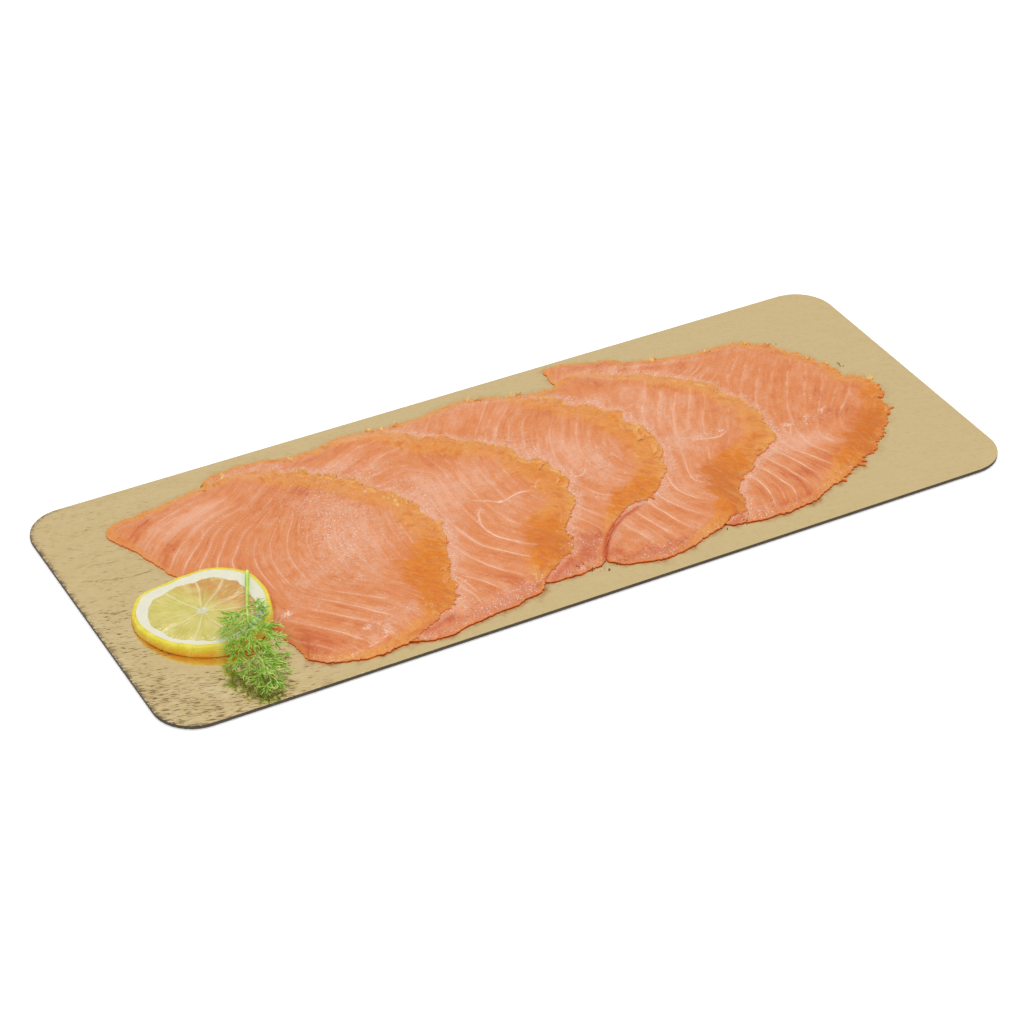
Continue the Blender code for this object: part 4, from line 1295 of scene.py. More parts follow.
def slice_marks(number, px, py, inward, column, front, width, strength, traced, around):
    """What a slice's points carry for its finish: the flake value and the fat between flakes, pale and deep
    places, some of them painted light and shade of folds, wet places for painted sheen and glints, spots for
    painted glints, how far across the smoked band, how smoked, lines of fat, painted shadow in seams, and the
    coordinates that run along the rim and along the flakes."""
    away, amount = thread_values(traced, px, py)
    # Painted shadow: how near the seams where slices meet.
    seam, seam_amount = thread_values(SEAM_SHADOWS[number], px, py)
    # Wet places: painted sheen, and where painted glints gather.
    wet = patch_values(WET_SHEEN_PLACES[number], px, py) + 0.2
    shore = np.full(len(px), 99.0)
    if number > 1:
        above, _, _ = ragged_rim(number - 1)
        shore = nearest_rim(np.stack([px, py], axis=1), above)
        # More painted sheen beside the rim of the slice above.
        wet += 1.2 * np.exp(-((shore / 4.0) ** 2)) * smooth_step((px - above[:, 0].mean()) / 30)
    lip = np.exp(-((inward / 3.0) ** 2)) * front[column]
    # Painted sheen along the front rims.
    wet += 0.8 * lip
    levels = flake_values(FAT_LINES[number], px, py)
    tone = patch_values(PATCHES[number], px, py) + 0.8 * np.exp(-((shore / 3.5) ** 2)) - 0.6 * lip
    # Stripes across the flakes, partly painted light and shade of their folds.
    tone += patch_values(STRIPED_SHADING.get(number, []), px, py) * np.cos(2 * math.pi * (levels - 0.15))
    painted = {
        "flake": levels,
        "fat": np.clip(0.5 + 0.7 * cloud_value(px, py, 17.0, 60 + number), 0, 1) * smooth_step(inward / 5),
        "tone": tone,
        "wet": wet,
        "white": patch_values(GLINT_SPOTS[number], px, py) ** 2,
        "band": np.clip(inward / width[column], 0, 3),
        "smoke": strength[column],
        "thread": np.clip(away, 0, 6),
        "thread_amount": amount,
        "seam": seam_amount * np.exp(-(seam**2)),
    }
    vectors = {
        "rim": np.stack([column / COLUMNS * around * MM, inward * MM, np.zeros(len(px))], axis=1),
        "fibre": np.stack([levels * 8 * MM, px * 0.11 * MM, py * 0.11 * MM], axis=1),
    }
    return painted, vectors


def build_slice(number, fish, finish, ground):
    """One slice: a closed skin over (row, column), column running round the rim and row from the top's middle
    out to the rim, over it in a half round and back underneath. The underside follows what lies below. The
    rim is thin, but full and round where it faces the front. The first slice is pressed down under the
    lemon."""
    rim, around, (width, strength) = ragged_rim(number)
    middle = rim.mean(0) * 0.3 + (rim.max(0) + rim.min(0)) * 0.35
    _, outward = along_and_outward(rim, 4)
    front = smooth_step((-outward[:, 1] - 0.25) / 0.6) * (1 - 0.75 * strength)
    traced = [(FAT_HALF_WIDTH, *line[1:]) for line in FAT_LINES[number]] + THREADS[number]
    grid = rows_within(rim, middle, TOP_ROWS)
    distance = nearest_rim(grid, rim)
    distance[-1] = 0
    x, y = grid[..., 0], grid[..., 1]
    base = ground.under(x, y, distance)
    top = base + slice_top(number, fish, grid, distance, front, width, strength, traced, around)
    if number == 1:
        top = pressed_by_lemon(top, base, x, y)

    rim_base, rim_top = base[-1], top[-1]
    sides, side_z = [], []
    for turn in np.linspace(0, math.pi, SIDE_ROWS + 2)[1:-1]:
        sides.append(rim + outward * ((0.14 + 0.45 * front) * math.sin(turn))[:, None])
        side_z.append((rim_top + rim_base) / 2 + (rim_top - rim_base) / 2 * math.cos(turn))
    rows = np.clip(np.round(np.array(UNDER_SHARES) * TOP_ROWS).astype(int) - 1, 0, TOP_ROWS - 2)
    xy = np.concatenate([grid, np.array(sides), grid[rows]])
    z = np.concatenate([top, np.array(side_z), base[rows]])
    points = np.concatenate([xy, z[..., None]], axis=-1).reshape(-1, 3)
    points = np.concatenate([points, [[*middle, top[0].mean()], [*middle, base[rows[-1]].mean()]]])
    all_rows = TOP_ROWS + SIDE_ROWS + len(rows)
    quads, triangles = turned_rows(all_rows, COLUMNS)

    inward = nearest_rim(points[:, :2], rim)
    column = np.concatenate([np.tile(np.arange(COLUMNS), all_rows), [0, 0]])
    px, py = points[:, 0], points[:, 1]
    painted, vectors = slice_marks(number, px, py, inward, column, front, width, strength, traced, around)
    # The rim's side, and less the underside, take the cut-flesh colour, partly painted shade, and a painted
    # glow.
    wall = np.repeat([0, 1, 0.6], np.array([TOP_ROWS, SIDE_ROWS, len(rows)]) * COLUMNS)
    painted["wall"] = np.concatenate([wall, [0, 0]])
    piece = solid(f"salmon_{number}", points, quads, triangles, finish, painted, vectors)
    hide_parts(f"salmon_slice_{number}")
    ground.lay(x, y, top)


# ---- flakes


LEAF_LONG, LEAF_WIDE = 9, 5
LEAF_POINTS = LEAF_LONG * LEAF_WIDE


def leaf_lattice():
    """Where each point of a leaf lies: s along it and t across it, from -1 to 1."""
    s, t = np.meshgrid(np.linspace(-1, 1, LEAF_LONG), np.linspace(-1, 1, LEAF_WIDE), indexing="ij")
    return s.ravel()[None], t.ravel()[None]


def shards(places, headings, lengths, widths, lifts, thickness, ground, seed):
    """Thin torn flakes, all at once: each a leaf whose length runs along its heading and whose outer side
    lifts off what is below. Its outline is a rounded leaf with random notches, and its height above the
    ground is the lift times the square of how far out the point lies, with a ripple. Its own underside closes
    it."""
    random = np.random.default_rng(seed)
    count = len(places)
    s, t = leaf_lattice()
    notch = 1 + 0.35 * random.uniform(-1, 1, (count, LEAF_POINTS)) * np.abs(t)
    leaf = np.sqrt(np.clip(1.05 - s**2, 0.05, 1)) * notch
    bend = random.uniform(-0.35, 0.35, (count, 1))
    u = s * lengths[:, None] / 2 * (1 + 0.1 * random.uniform(-1, 1, (count, LEAF_POINTS)))
    v = t * leaf * widths[:, None] / 2 + bend * (s**2 - 0.4) * widths[:, None]
    c, k = np.cos(headings)[:, None], np.sin(headings)[:, None]
    x, y = places[:, None, 0] + u * c - v * k, places[:, None, 1] + u * k + v * c
    floor = ground.sampled(ground.softened(ground.heights, 0.9), x, y)
    out = (0.5 + 0.5 * t) ** 2
    ripple = np.sin(s * random.uniform(2, 6, (count, 1)) + random.uniform(0, 6, (count, 1)))
    rise = lifts[:, None] * out * (0.75 + 0.35 * ripple)
    rise += 0.05 * random.uniform(-1, 1, (count, LEAF_POINTS))
    rise += 0.32 * smooth_step((t + 1) / 0.7) * np.sqrt(np.clip(1 - s**2, 0, 1)) - 0.22
    half = thickness[:, None] / 2 * (1 - 0.6 * np.maximum(s**2, t**2))
    top = np.stack([x, y, floor + rise + half], axis=-1)
    bottom = np.stack([x, y, floor + rise - half], axis=-1)
    points = np.concatenate([top, bottom], axis=1)
    index = np.arange(LEAF_POINTS).reshape(LEAF_LONG, LEAF_WIDE)
    face, edge = lattice_faces(index), border_of(index.T)
    ahead = np.roll(edge, -1)
    wall = np.stack([edge, edge + LEAF_POINTS, ahead + LEAF_POINTS, ahead], axis=-1)
    one = np.concatenate([face, face[:, ::-1] + LEAF_POINTS, wall])
    return points.reshape(-1, 3), repeated(one, count, 2 * LEAF_POINTS)


# Where flakes lie along the smoked edges: slice, first place, last place, how many, how pale, how raised.
FLAKE_RUNS = [
    (1, (-88, 56), (-62, 33), 20, 0.35, 1.1), (1, (-66, 36), (-47, 4), 30, 0.45, 1),
    (1, (-47, 0), (-50, -25), 6, 0.2, 0.5), (1, (-52, -30), (-62, -56), 5, 0.1, 0.3),
    (2, (-20, 50), (8, 20), 14, 0.25, 0.8), (2, (8, 20), (17, -12), 20, 0.35, 0.9),
    (2, (12, -22), (-4, -50), 6, 0.1, 0.4), (3, (30, 60), (58, 28), 12, 0.3, 0.8),
    (3, (58, 28), (64, -12), 14, 0.3, 0.8), (4, (90, 48), (118, 4), 16, 0.25, 0.7),
    (4, (118, 4), (104, -28), 8, 0.2, 0.5), (5, (140, 54), (178, 0), 14, 0.3, 0.8),
    (5, (178, 0), (150, -46), 5, 0, 0.6),
]
# Crumbs beside the slices: place, how many, spread, how pale; those below zero are dark.
CRUMB_HEAPS = [
    (-118, 66, 4, 4, 1.9), (-112, 70, 3, 3, 1.9), (-80, 68, 4, 3, 1.9), (-36, 71, 4, 3.5, 1.9),
    (-26, 71, 3, 3, 1.9), (15, 71, 3, 3, 1.9), (101, 63, 3, 2, 1.9), (32, 66, 3, 2, 1.9),
    (128, 56, 3, 3, 1.9), (146, 52, 4, 2.5, 1.9), (165, 28, 3, 2, 1.9), (180, 2, 3, 2.5, 1.9),
    (-8, -63, 4, 3, -1.5), (-2, -65, 5, 3, -1.5), (4, -67, 5, 3, -1.5), (12, -66, 4, 3, -1.5),
    (65, -66, 4, 3, -1.5), (72, -66, 4, 3, -1.5), (156, 49, 5, 3, -1.5), (175, 17, 5, 3, -1.5),
]


def build_flakes(finish, ground):
    """Torn flakes that lie along the smoked edges and crumbs at the back, one mesh of many small closed
    leaves."""
    random = np.random.default_rng(7)
    dark_size = 0.35
    places, lengths, widths, headings, lifts, pale = [], [], [], [], [], []
    for number, start, end, count, paleness, lift in FLAKE_RUNS:
        rim, _, _ = ragged_rim(number)
        first = int(np.argmin(np.linalg.norm(rim - np.array(start), axis=1)))
        last = int(np.argmin(np.linalg.norm(rim - np.array(end), axis=1)))
        span = (last - first + COLUMNS // 2) % COLUMNS - COLUMNS // 2
        at = (first + np.round(random.uniform(0, 1, count) * span).astype(int)) % COLUMNS
        along, outward = along_and_outward(rim, 4)
        tip = random.uniform(0, 1, count) < 0.35
        depth = np.where(tip, random.uniform(-0.4, 0.8, count), random.uniform(0.8, 6.0, count))
        places.append(rim[at] - outward[at] * depth[:, None])
        headings.append(np.arctan2(along[at, 1], along[at, 0]) + math.pi + random.normal(0, 0.45, count))
        size = np.where(tip, 0.0, random.uniform(0, 1, count) ** 1.3)
        lengths.append(2.0 + 8.0 * size)
        widths.append(0.9 + 2.8 * size * random.uniform(0.5, 1.0, count))
        lifts.append(lift * np.where(tip, random.uniform(0.6, 1.3, count), random.uniform(0.05, 0.5, count)))
        pale.append(np.clip(paleness + random.normal(0, 0.2, count) + 0.5 * tip, 0, 1))
    for x, y, count, spread, paleness in CRUMB_HEAPS:
        places.append(np.array([x, y]) + random.normal(0, spread / 2, (count, 2)))
        small = dark_size if paleness < 0 else 1.0
        lengths.append(small * random.uniform(1.0, 2.8, count))
        widths.append(small * random.uniform(0.35, 0.7, count))
        headings.append(random.uniform(0, 2 * math.pi, count))
        lifts.append(small * random.uniform(0.4, 2.4, count))
        pale.append(np.full(count, paleness))
    shapes = [np.concatenate(values) for values in (places, headings, lengths, widths, lifts)]
    count = len(shapes[0])
    thickness = random.uniform(0.12, 0.26, count)
    points, quads = shards(*shapes, thickness, ground, 9)
    s, t = leaf_lattice()
    border = np.maximum(s**2, np.clip(t, 0, 1) ** 2).ravel()
    painted = {
        "pale_crumb": np.repeat(np.concatenate(pale), 2 * LEAF_POINTS),
        "border": np.tile(border, 2 * count),
    }
    solid("edge_flakes", points, quads, [], finish, painted)


# ---- the board


# The creases in the facing run this many degrees from the board's length.
CREASE_TURN = -15.0
# How far the facing stays in from the board's rim and reaches into the card, and its corners' radius.
FOIL_INSET, FOIL_SINK, FOIL_CORNER = 0.02, 0.05, 18.0
FOIL_COLUMNS, FOIL_ROWS = 430, 180
# A smoother place among the creases, as a patch is given.
SMOOTH_PLACE = (-170, -44, 26, 9, -24, 1.3)
# Long folds in the facing, painted dark as shade: half width, strength at start and end, and points.
FOIL_FOLDS = [
    (0.45, 0.5, 0.8, (-195, 29), (-190, 27.8), (-184, 25), (-178, 24), (-176, 22.7), (-169, 22.2),
     (-161, 22)),
    (0.45, 0.6, 0.8, (-197, 6), (-193, 4.7), (-189.5, 2.7), (-186, 1.8), (-182, 1.4)),
    (0.35, 0.3, 0.6, (-186, 38), (-180, 36), (-172, 35.5)),
]


def build_foil(card, finish):
    """The gold facing: rows along the board, each as long as the rounded outline allows there, so that the
    point at (row, column) is (share of the half length at that row, row). Height is long narrow creases,
    deepest where the facing is worn, and falls to nothing at the rim. Its flat underside is a fan from the
    middle."""
    half_x, half_y = BOARD_HIGH[0] - FOIL_INSET, BOARD_HIGH[1] - FOIL_INSET
    up = np.concatenate([[-1], np.linspace(-0.9993, 0.9993, FOIL_ROWS - 2), [1]])
    y = half_y * (0.72 * up + 0.28 * np.sin(up * math.pi / 2))
    over = np.maximum(np.abs(y) - (half_y - FOIL_CORNER), 0)
    reach = half_x - FOIL_CORNER + np.sqrt(np.maximum(FOIL_CORNER**2 - over**2, 0))
    across = np.concatenate([[-1], np.linspace(-0.9997, 0.9997, FOIL_COLUMNS - 2), [1]])
    x = reach[:, None] * (0.94 * across + 0.06 * np.sin(across * math.pi / 2))[None]
    y = np.repeat(y[:, None], FOIL_COLUMNS, axis=1)
    rim_gap = np.minimum(half_y - np.abs(y), reach[:, None] - np.abs(x))
    corner_x, corner_y = np.abs(x) - (half_x - FOIL_CORNER), np.abs(y) - (half_y - FOIL_CORNER)
    in_corner = (corner_x > 0) & (corner_y > 0)
    rim_gap = np.maximum(np.where(in_corner, FOIL_CORNER - np.hypot(corner_x, corner_y), rim_gap), 0)

    left = smooth_step((-x - 70) / 120)
    front_left = smooth_step((-x - 118) / 40) * smooth_step((20 - y) / 70)
    right = smooth_step((x - 160) / 35)
    worn = np.clip(0.22 * left + 0.85 * front_left + 0.06 * right + 0.02, 0, 1)
    worn *= 1 - 0.9 * np.minimum(patch_values([SMOOTH_PLACE], x, y), 1)
    along, aside = turned(x, y, CREASE_TURN)
    long_crease = cloud_value(along * 0.26, aside, 1.7, 301, 2)
    wave = cloud_value(along * 0.45, aside, 7.0, 305, 3)
    crease = -np.clip(long_crease - 0.3, 0, 1) * worn * 1.4
    crease = crease + 0.55 * wave * (0.25 + worn) + 0.2 * long_crease * (0.1 + worn)
    height = card.crease_depth / MM * crease * smooth_step(rim_gap / 2.0)
    top = BOARD_TOP + card.foil_thickness / MM + height

    points = np.stack([x, y, top], axis=-1).reshape(-1, 3)
    index = np.arange(len(points)).reshape(FOIL_ROWS, FOIL_COLUMNS)
    edge = border_of(index)
    under = len(points) + np.arange(len(edge))
    wall = np.stack([edge, under, np.roll(under, -1), np.roll(edge, -1)], axis=-1)
    quads = np.concatenate([lattice_faces(index)[:, [0, 3, 2, 1]], wall])
    underside = fan(len(points) + len(edge), under)[:, [0, 2, 1]]
    low = BOARD_TOP - FOIL_SINK
    lower = np.column_stack([points[edge, :2], np.full(len(edge), low)])
    points = np.concatenate([points, lower, [[0, 0, low]]])

    fold, fold_amount = thread_values(FOIL_FOLDS, x, y)
    # Painted shadow and reflection of the slices on the facing, strongest beside the front edges.
    slice_shadow = np.zeros_like(x)
    spread = np.maximum(2.0 + 1.2 * cloud_value(x, y, 4.0, 700, 2), 0.4)
    for number in range(1, SLICES + 1):
        away = nearest_rim(np.stack([x, y], axis=-1), ragged_rim(number)[0])
        slice_shadow = np.maximum(slice_shadow, np.exp(-((away / spread) ** 2)))
    slice_shadow *= 0.25 + 0.75 * smooth_step((-y - 45) / 20)
    painted = {
        "worn": worn,
        "torn": np.exp(-((rim_gap / 1.5) ** 2)) * smooth_step((-x - 170) / 20),
        "slice_shadow": slice_shadow,
        "fold": np.clip(fold, 0, 9),
        "fold_amount": fold_amount,
    }
    painted = {title: np.concatenate([v.ravel(), v.ravel()[edge], [0]]) for title, v in painted.items()}
    painted["cut"] = np.concatenate([(rim_gap < 0.01).ravel(), np.ones(len(edge) + 1)])
    solid("gold_foil", points, quads, underside, finish, painted, flat=len(wall))


# ---- the lemon


LEMON_CORE = (0.0, -2.0)
LEMON_SPREAD = 1.025
LEMON_COLUMNS, FACE_ROWS, FOLD_ROWS, BELOW_ROWS = 540, 104, 19, 12
# The membranes: the angle of each from the core in degrees, and its half width.
MEMBRANES = [
    (122.2, 0.3), (80, 0.2), (48.4, 0.34), (11.6, 0.15), (-18.8, 0.1), (-75, 0.16), (-116, 0.14),
    (-160.6, 0.14),
]
# Round the slice from its middle: angle in degrees, and how far out the rind and the pulp reach.
LEMON_ROUND = [
    (-173, 26.4, 22.4), (-157, 25.2, 20.6), (-139, 24.8, 21.9), (-127, 24.8, 20.8), (-116, 24.9, 20.8),
    (-106, 25.3, 21.7), (-89, 26.5, 22.8), (-66, 27.6, 23.6), (-45, 28.6, 24), (-28, 28.6, 23),
    (-12, 27.9, 22.2), (0, 27.7, 20.8), (17, 28, 21.2), (30, 28.1, 21.4), (44, 27.1, 19.8), (52, 26.5, 20.4),
    (62, 25.6, 19.6), (72, 24.6, 18.7), (81, 23.4, 16.8), (94, 22.6, 17.5), (108, 22.5, 18.4),
    (120, 23.6, 18.8), (128, 25.6, 18.2), (138, 27.4, 21.3), (150, 27.6, 21.5), (168, 27.7, 21.9),
]


def build_lemon(finish):
    """The lemon slice: a closed skin over (row, column), column the angle and row going from the middle
    across the top, over the rind and back to the middle underneath. The outline and the pulp's edge are
    smooth curves through the stations. The side is a squared half round, the root of the sine up and of the
    cosine out, flared below. The pulp lies a little below the pith and swells between membranes. The
    underside sags to the board."""
    thick = LEMON_THICKNESS
    angle = np.linspace(0, 2 * math.pi, LEMON_COLUMNS, endpoint=False)
    share = angle / (2 * math.pi)
    stations = np.array(LEMON_ROUND)
    stations = stations[np.argsort(stations[:, 0] % 360)]

    def round_curve(values):
        curve = np.interp(np.degrees(angle), stations[:, 0] % 360, values, period=360)
        return softened_ring(LEMON_SPREAD * curve, 360, 4.0)

    rind_edge = round_curve(stations[:, 1]) + 0.12 * ring_noise(share, 12, 500)
    pulp_edge = round_curve(stations[:, 2]) + 0.25 * ring_noise(share, 16, 501)
    turn = np.linspace(math.pi / 2, -math.pi / 2, FOLD_ROWS)[1:-1]
    face_r = (rind_edge - 0.5)[None] * np.linspace(0.012, 1.0, FACE_ROWS)[:, None]
    side_z = np.sign(np.sin(turn)) * np.sqrt(np.abs(np.sin(turn)))
    flared = 1.2 * ((1 - side_z) / 2)[:, None] * (0.65 + 0.35 * np.cos(angle - math.radians(242)))
    side_r = (rind_edge - 0.5)[None] + 1.1 * np.sqrt(np.cos(turn))[:, None] + flared
    under_r = (rind_edge - 2.0)[None] * np.linspace(0.98, 0.04, BELOW_ROWS)[:, None]
    r = np.concatenate([face_r, side_r, under_r])
    rows_z = np.concatenate([np.ones(FACE_ROWS), side_z, -np.ones(BELOW_ROWS)])
    on_face = (np.arange(len(rows_z)) < FACE_ROWS)[:, None]
    x, y = 0.97 * r * np.cos(angle), r * np.sin(angle)
    from_core_x, from_core_y = x - LEMON_CORE[0], y - LEMON_CORE[1]
    spoke_angle = np.degrees(np.arctan2(from_core_y, from_core_x))
    spoke_length = np.hypot(from_core_x, from_core_y)
    gap = np.full(x.shape, 99.0)
    for place, width in MEMBRANES:
        bend = 2.0 * np.sin(spoke_length / 4 + place)
        off = (spoke_angle - place + bend + 180) % 360 - 180
        away = np.where(np.abs(off) < 90, spoke_length * np.abs(np.sin(np.radians(off))), spoke_length)
        gap = np.minimum(gap, away - width * (0.4 + 0.6 * np.clip(spoke_length / 20, 0, 1)))
    gap = np.maximum(gap, 0)
    to_pith = pulp_edge[None] - r
    pulp = smooth_step((to_pith + 0.3) / 0.9)
    swelling = smooth_step(gap / 1.6) * smooth_step(to_pith / 2.5)
    grain = cloud_value(spoke_angle / 4.0, spoke_length / 3.4, 1.0, 510, 2)
    detail = (-0.45 + 0.32 * swelling + 0.11 * grain) * pulp
    detail += 0.12 * cloud_value(x, y, 2.6, 520, 2) * (1 - pulp)
    z = rows_z[:, None] * thick / 2 * np.ones_like(x) + np.where(on_face, detail, 0)
    on_side = (~on_face) * (np.abs(rows_z) < 0.99)[:, None]
    pores = 0.06 * cloud_value(angle[None] * 27, z, 1.1, 530, 2) * on_side
    x, y = x * (1 + pores / 28), y * (1 + pores / 28)

    points = np.stack([x, y, z], axis=-1).reshape(-1, 3)
    points = np.concatenate([points, [[0, 0, thick / 2 - 0.2], [0, 0, -thick / 2]]])
    spin = Matrix.Rotation(math.radians(LEMON_TURN), 3, "Z")
    tilt = Matrix.Rotation(math.radians(-LEMON_TILT), 3, "Y")
    points = points @ np.array(spin @ tilt).T + lemon_middle()
    fall = np.concatenate([np.repeat((1 - rows_z) / 2, LEMON_COLUMNS), [0, 1]])
    plane = points[:, 2] - thick * (1 - fall)
    points[:, 2] += (sagged(plane, points[:, 0]) - plane) * fall
    quads, triangles = turned_rows(len(rows_z), LEMON_COLUMNS)

    def with_poles(values, first, last):
        return np.concatenate([np.broadcast_to(values, x.shape).ravel(), [first, last]])

    zest = smooth_step((r - rind_edge[None] + 1.5) / 0.5)
    # Where the painted glints of juice lie: near the pith's edge, on the slice's lower side.
    juice_glint_place = np.exp(-(((to_pith - 1.6) / 1.4) ** 2)) * smooth_step((2 - y) / 8)
    painted = {
        "pulpy": with_poles(np.where(on_face, pulp, 0), 1, 0),
        "membrane": with_poles(np.exp(-((gap / 0.32) ** 2)) * pulp, 1, 0),
        "core": with_poles(np.exp(-((from_core_x / 2.4) ** 2 + (from_core_y / 1.7) ** 2) ** 2), 0, 0),
        "rindy": with_poles(np.where(on_face, zest, (np.abs(rows_z) < 0.999)[:, None] * 1.0), 0, 0),
        # Low on the side, where the rind is painted with the reflected gold of the board.
        "low": with_poles(smooth_step((0.6 - rows_z)[:, None] / 1.2), 0, 1),
        "juice_glint_place": with_poles(juice_glint_place * on_face, 0, 0),
        # Painted light through the pulp: where it lies over the salmon.
        "salmon_seen_through": with_poles(smooth_step((x * 0.8 + y * 0.5 + 1) / 13), 0, 0),
    }
    spoke = [with_poles(np.radians(spoke_angle) * 14 * MM, 0, 0), with_poles(spoke_length * MM, 0, 0)]
    spoke = np.stack([*spoke, np.zeros(len(points))], axis=1)
    piece = solid("lemon", points, quads, triangles, finish, painted, {"spoke": spoke})
    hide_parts("lemon_slice")


# ---- the dill


def tubes(starts, ends, sags, radii_start, radii_end, sides, rings):
    """Tapered tubes, all at once: the centre line of each is the straight line between its ends plus a bow of
    sin(pi t) times its sag, and the ring at t has the blended radius. Each end is closed by one face. Returns
    the points, the four-sided and three-sided faces, and each point's t."""
    count, each = len(starts), rings * sides
    t = np.linspace(0, 1, rings)[None, :, None]
    line = starts[:, None] * (1 - t) + ends[:, None] * t + sags[:, None] * np.sin(math.pi * t)
    direction = np.gradient(line, axis=1)
    direction /= np.maximum(np.linalg.norm(direction, axis=2, keepdims=True), 1e-9)
    helper = np.where(np.abs(direction[..., 2:3]) < 0.9, [[[0.0, 0.0, 1.0]]], [[[1.0, 0.0, 0.0]]])
    side = np.cross(direction, helper)
    side /= np.linalg.norm(side, axis=2, keepdims=True)
    up = np.cross(direction, side)
    radius = radii_start[:, None, None] * (1 - t) + radii_end[:, None, None] * t
    turn = np.linspace(0, 2 * math.pi, sides, endpoint=False)[:, None]
    around = side[:, :, None] * np.cos(turn) + up[:, :, None] * np.sin(turn)
    points = line[:, :, None] + around * radius[..., None]
    index = np.arange(each).reshape(rings, sides)
    quads = lattice_faces(wrapped(index))[:, [0, 3, 2, 1]]
    caps = np.stack([np.roll(index[0, ::-1], 1), index[-1]])
    if sides == 4:
        quads, caps = np.concatenate([quads, caps]), caps[:0, :3]
    share = np.tile(np.repeat(np.linspace(0, 1, rings), sides), count)
    return points.reshape(-1, 3), repeated(quads, count, each), repeated(caps, count, each), share


# The sprig, height last: the bare stem, the leafy spine to its tip, and each side frond as its place along
# the spine, 0 to 1, and its tip.
STEM = ((-133.2, -8.0, 10.2), (-138.4, -19.5, 10.4), (-144.2, -31.9, 11.0))
PLUME = (
    (-144.2, -31.9, 11), (-148, -42.3, 11.7), (-151.2, -51.5, 10.6), (-152.3, -57.6, 9.1),
    (-151.9, -65.6, 7.1), (-152.7, -74.5, 5.1), (-154, -78, 4.6),
)
FRONDS = [
    (0.01, (-157, -37, 11.9)), (0.08, (-160, -42.5, 11.6)), (0.16, (-160, -47.5, 10.6)),
    (0.28, (-161, -51.5, 8.8)), (0.36, (-163, -55.5, 7.4)), (0.46, (-163, -60, 6.4)),
    (0.6, (-160.5, -66.5, 5.6)), (0.74, (-159, -72, 4.8)), (0.9, (-157.6, -76, 4.4)),
    (0, (-138.5, -34, 11.9)), (0.03, (-138.5, -38.5, 11.5)), (0.1, (-138.8, -46.5, 8.8)),
    (0.18, (-137.6, -53, 7)), (0.28, (-140.6, -56.5, 6.8)), (0.4, (-142.6, -61.5, 6)),
    (0.54, (-144.8, -66, 5.6)), (0.68, (-146.5, -71, 5.4)), (0.84, (-150.8, -77.4, 5)),
    (0.14, (-149.5, -50, 13.6)), (0.28, (-155, -58, 11.6)), (0.44, (-148.5, -63, 10.2)),
    (0.6, (-154.5, -72, 8)),
]


# The radius at the start and at the end of the stem, the spine, a frond's rib, a twig and a thread.
STEM_RADII, PLUME_RADII = (0.85, 0.7), (0.62, 0.22)
RIB_RADII, TWIG_RADII, THREAD_RADII = (0.38, 0.2), (0.3, 0.16), (0.3, 0.14)
THREADS_ON_TWIG = 4
# Rank of a tube: the stem, spine or a rib, a twig, a thread.
RIB, TWIG, THREAD = 0, 1, 2


def along_path(path, shares):
    """Points at these shares of a path's length, by straight blends between its points."""
    path = np.array(path)
    steps = run_of(path)
    at = np.asarray(shares) * steps[-1]
    return np.stack([np.interp(at, steps, path[:, k]) for k in range(3)], axis=-1)


def frond(random, base, tip, twigs, floor):
    """One feathery frond from its base to its tip: a rib, twigs to each side that shorten to the tip and lean
    forwards, and threads off the twigs. Returns start, end, sag, first radius, last radius and rank of every
    tube."""
    size = float(np.linalg.norm(tip - base))
    direction = (tip - base) / size
    across = np.cross(direction, [0.0, 0.0, 1.0])
    across /= np.linalg.norm(across)
    over = np.cross(across, direction)
    bow = across * random.uniform(-0.08, 0.08) * size + np.array([0, 0, 0.06 * size])
    rows = [(base, tip, bow, *RIB_RADII, RIB)]
    for k in range(twigs):
        share = 0.16 + 0.84 * (k + random.uniform(-0.25, 0.25)) / twigs
        start = base + (tip - base) * share + bow * math.sin(math.pi * share)
        side = 1 if k % 2 else -1
        reach = (2.4 + size * (0.36 - 0.28 * share)) * random.uniform(0.8, 1.2)
        lean = random.uniform(0.45, 0.9)
        spin = random.uniform(-0.8, 0.9)
        sideways = across * side * math.cos(spin) + over * math.sin(spin)
        twig = direction * math.cos(lean) + sideways * math.sin(lean)
        end = start + twig * reach
        end[2] = max(end[2], floor)
        rows.append((start, end, sideways * -0.08 * reach, *TWIG_RADII, TWIG))
        for j in range(THREADS_ON_TWIG):
            part = 0.2 + 0.75 * j / THREADS_ON_TWIG
            root = start + (end - start) * part - sideways * 0.08 * reach * math.sin(math.pi * part)
            out = random.uniform(0.3, 0.7) * (1 if j % 2 else -1)
            flip = random.uniform(-0.7, 0.7)
            aside = np.cross(twig, over) * math.cos(flip) + over * math.sin(flip)
            length = random.uniform(2.0, 4.6) * (1.1 - 0.4 * part)
            leaf = root + (twig * math.cos(out) + aside * math.sin(out)) * length
            leaf[2] = max(leaf[2], floor)
            rows.append((root, leaf, random.normal(0, 0.08, 3) * length, *THREAD_RADII, THREAD))
    return rows


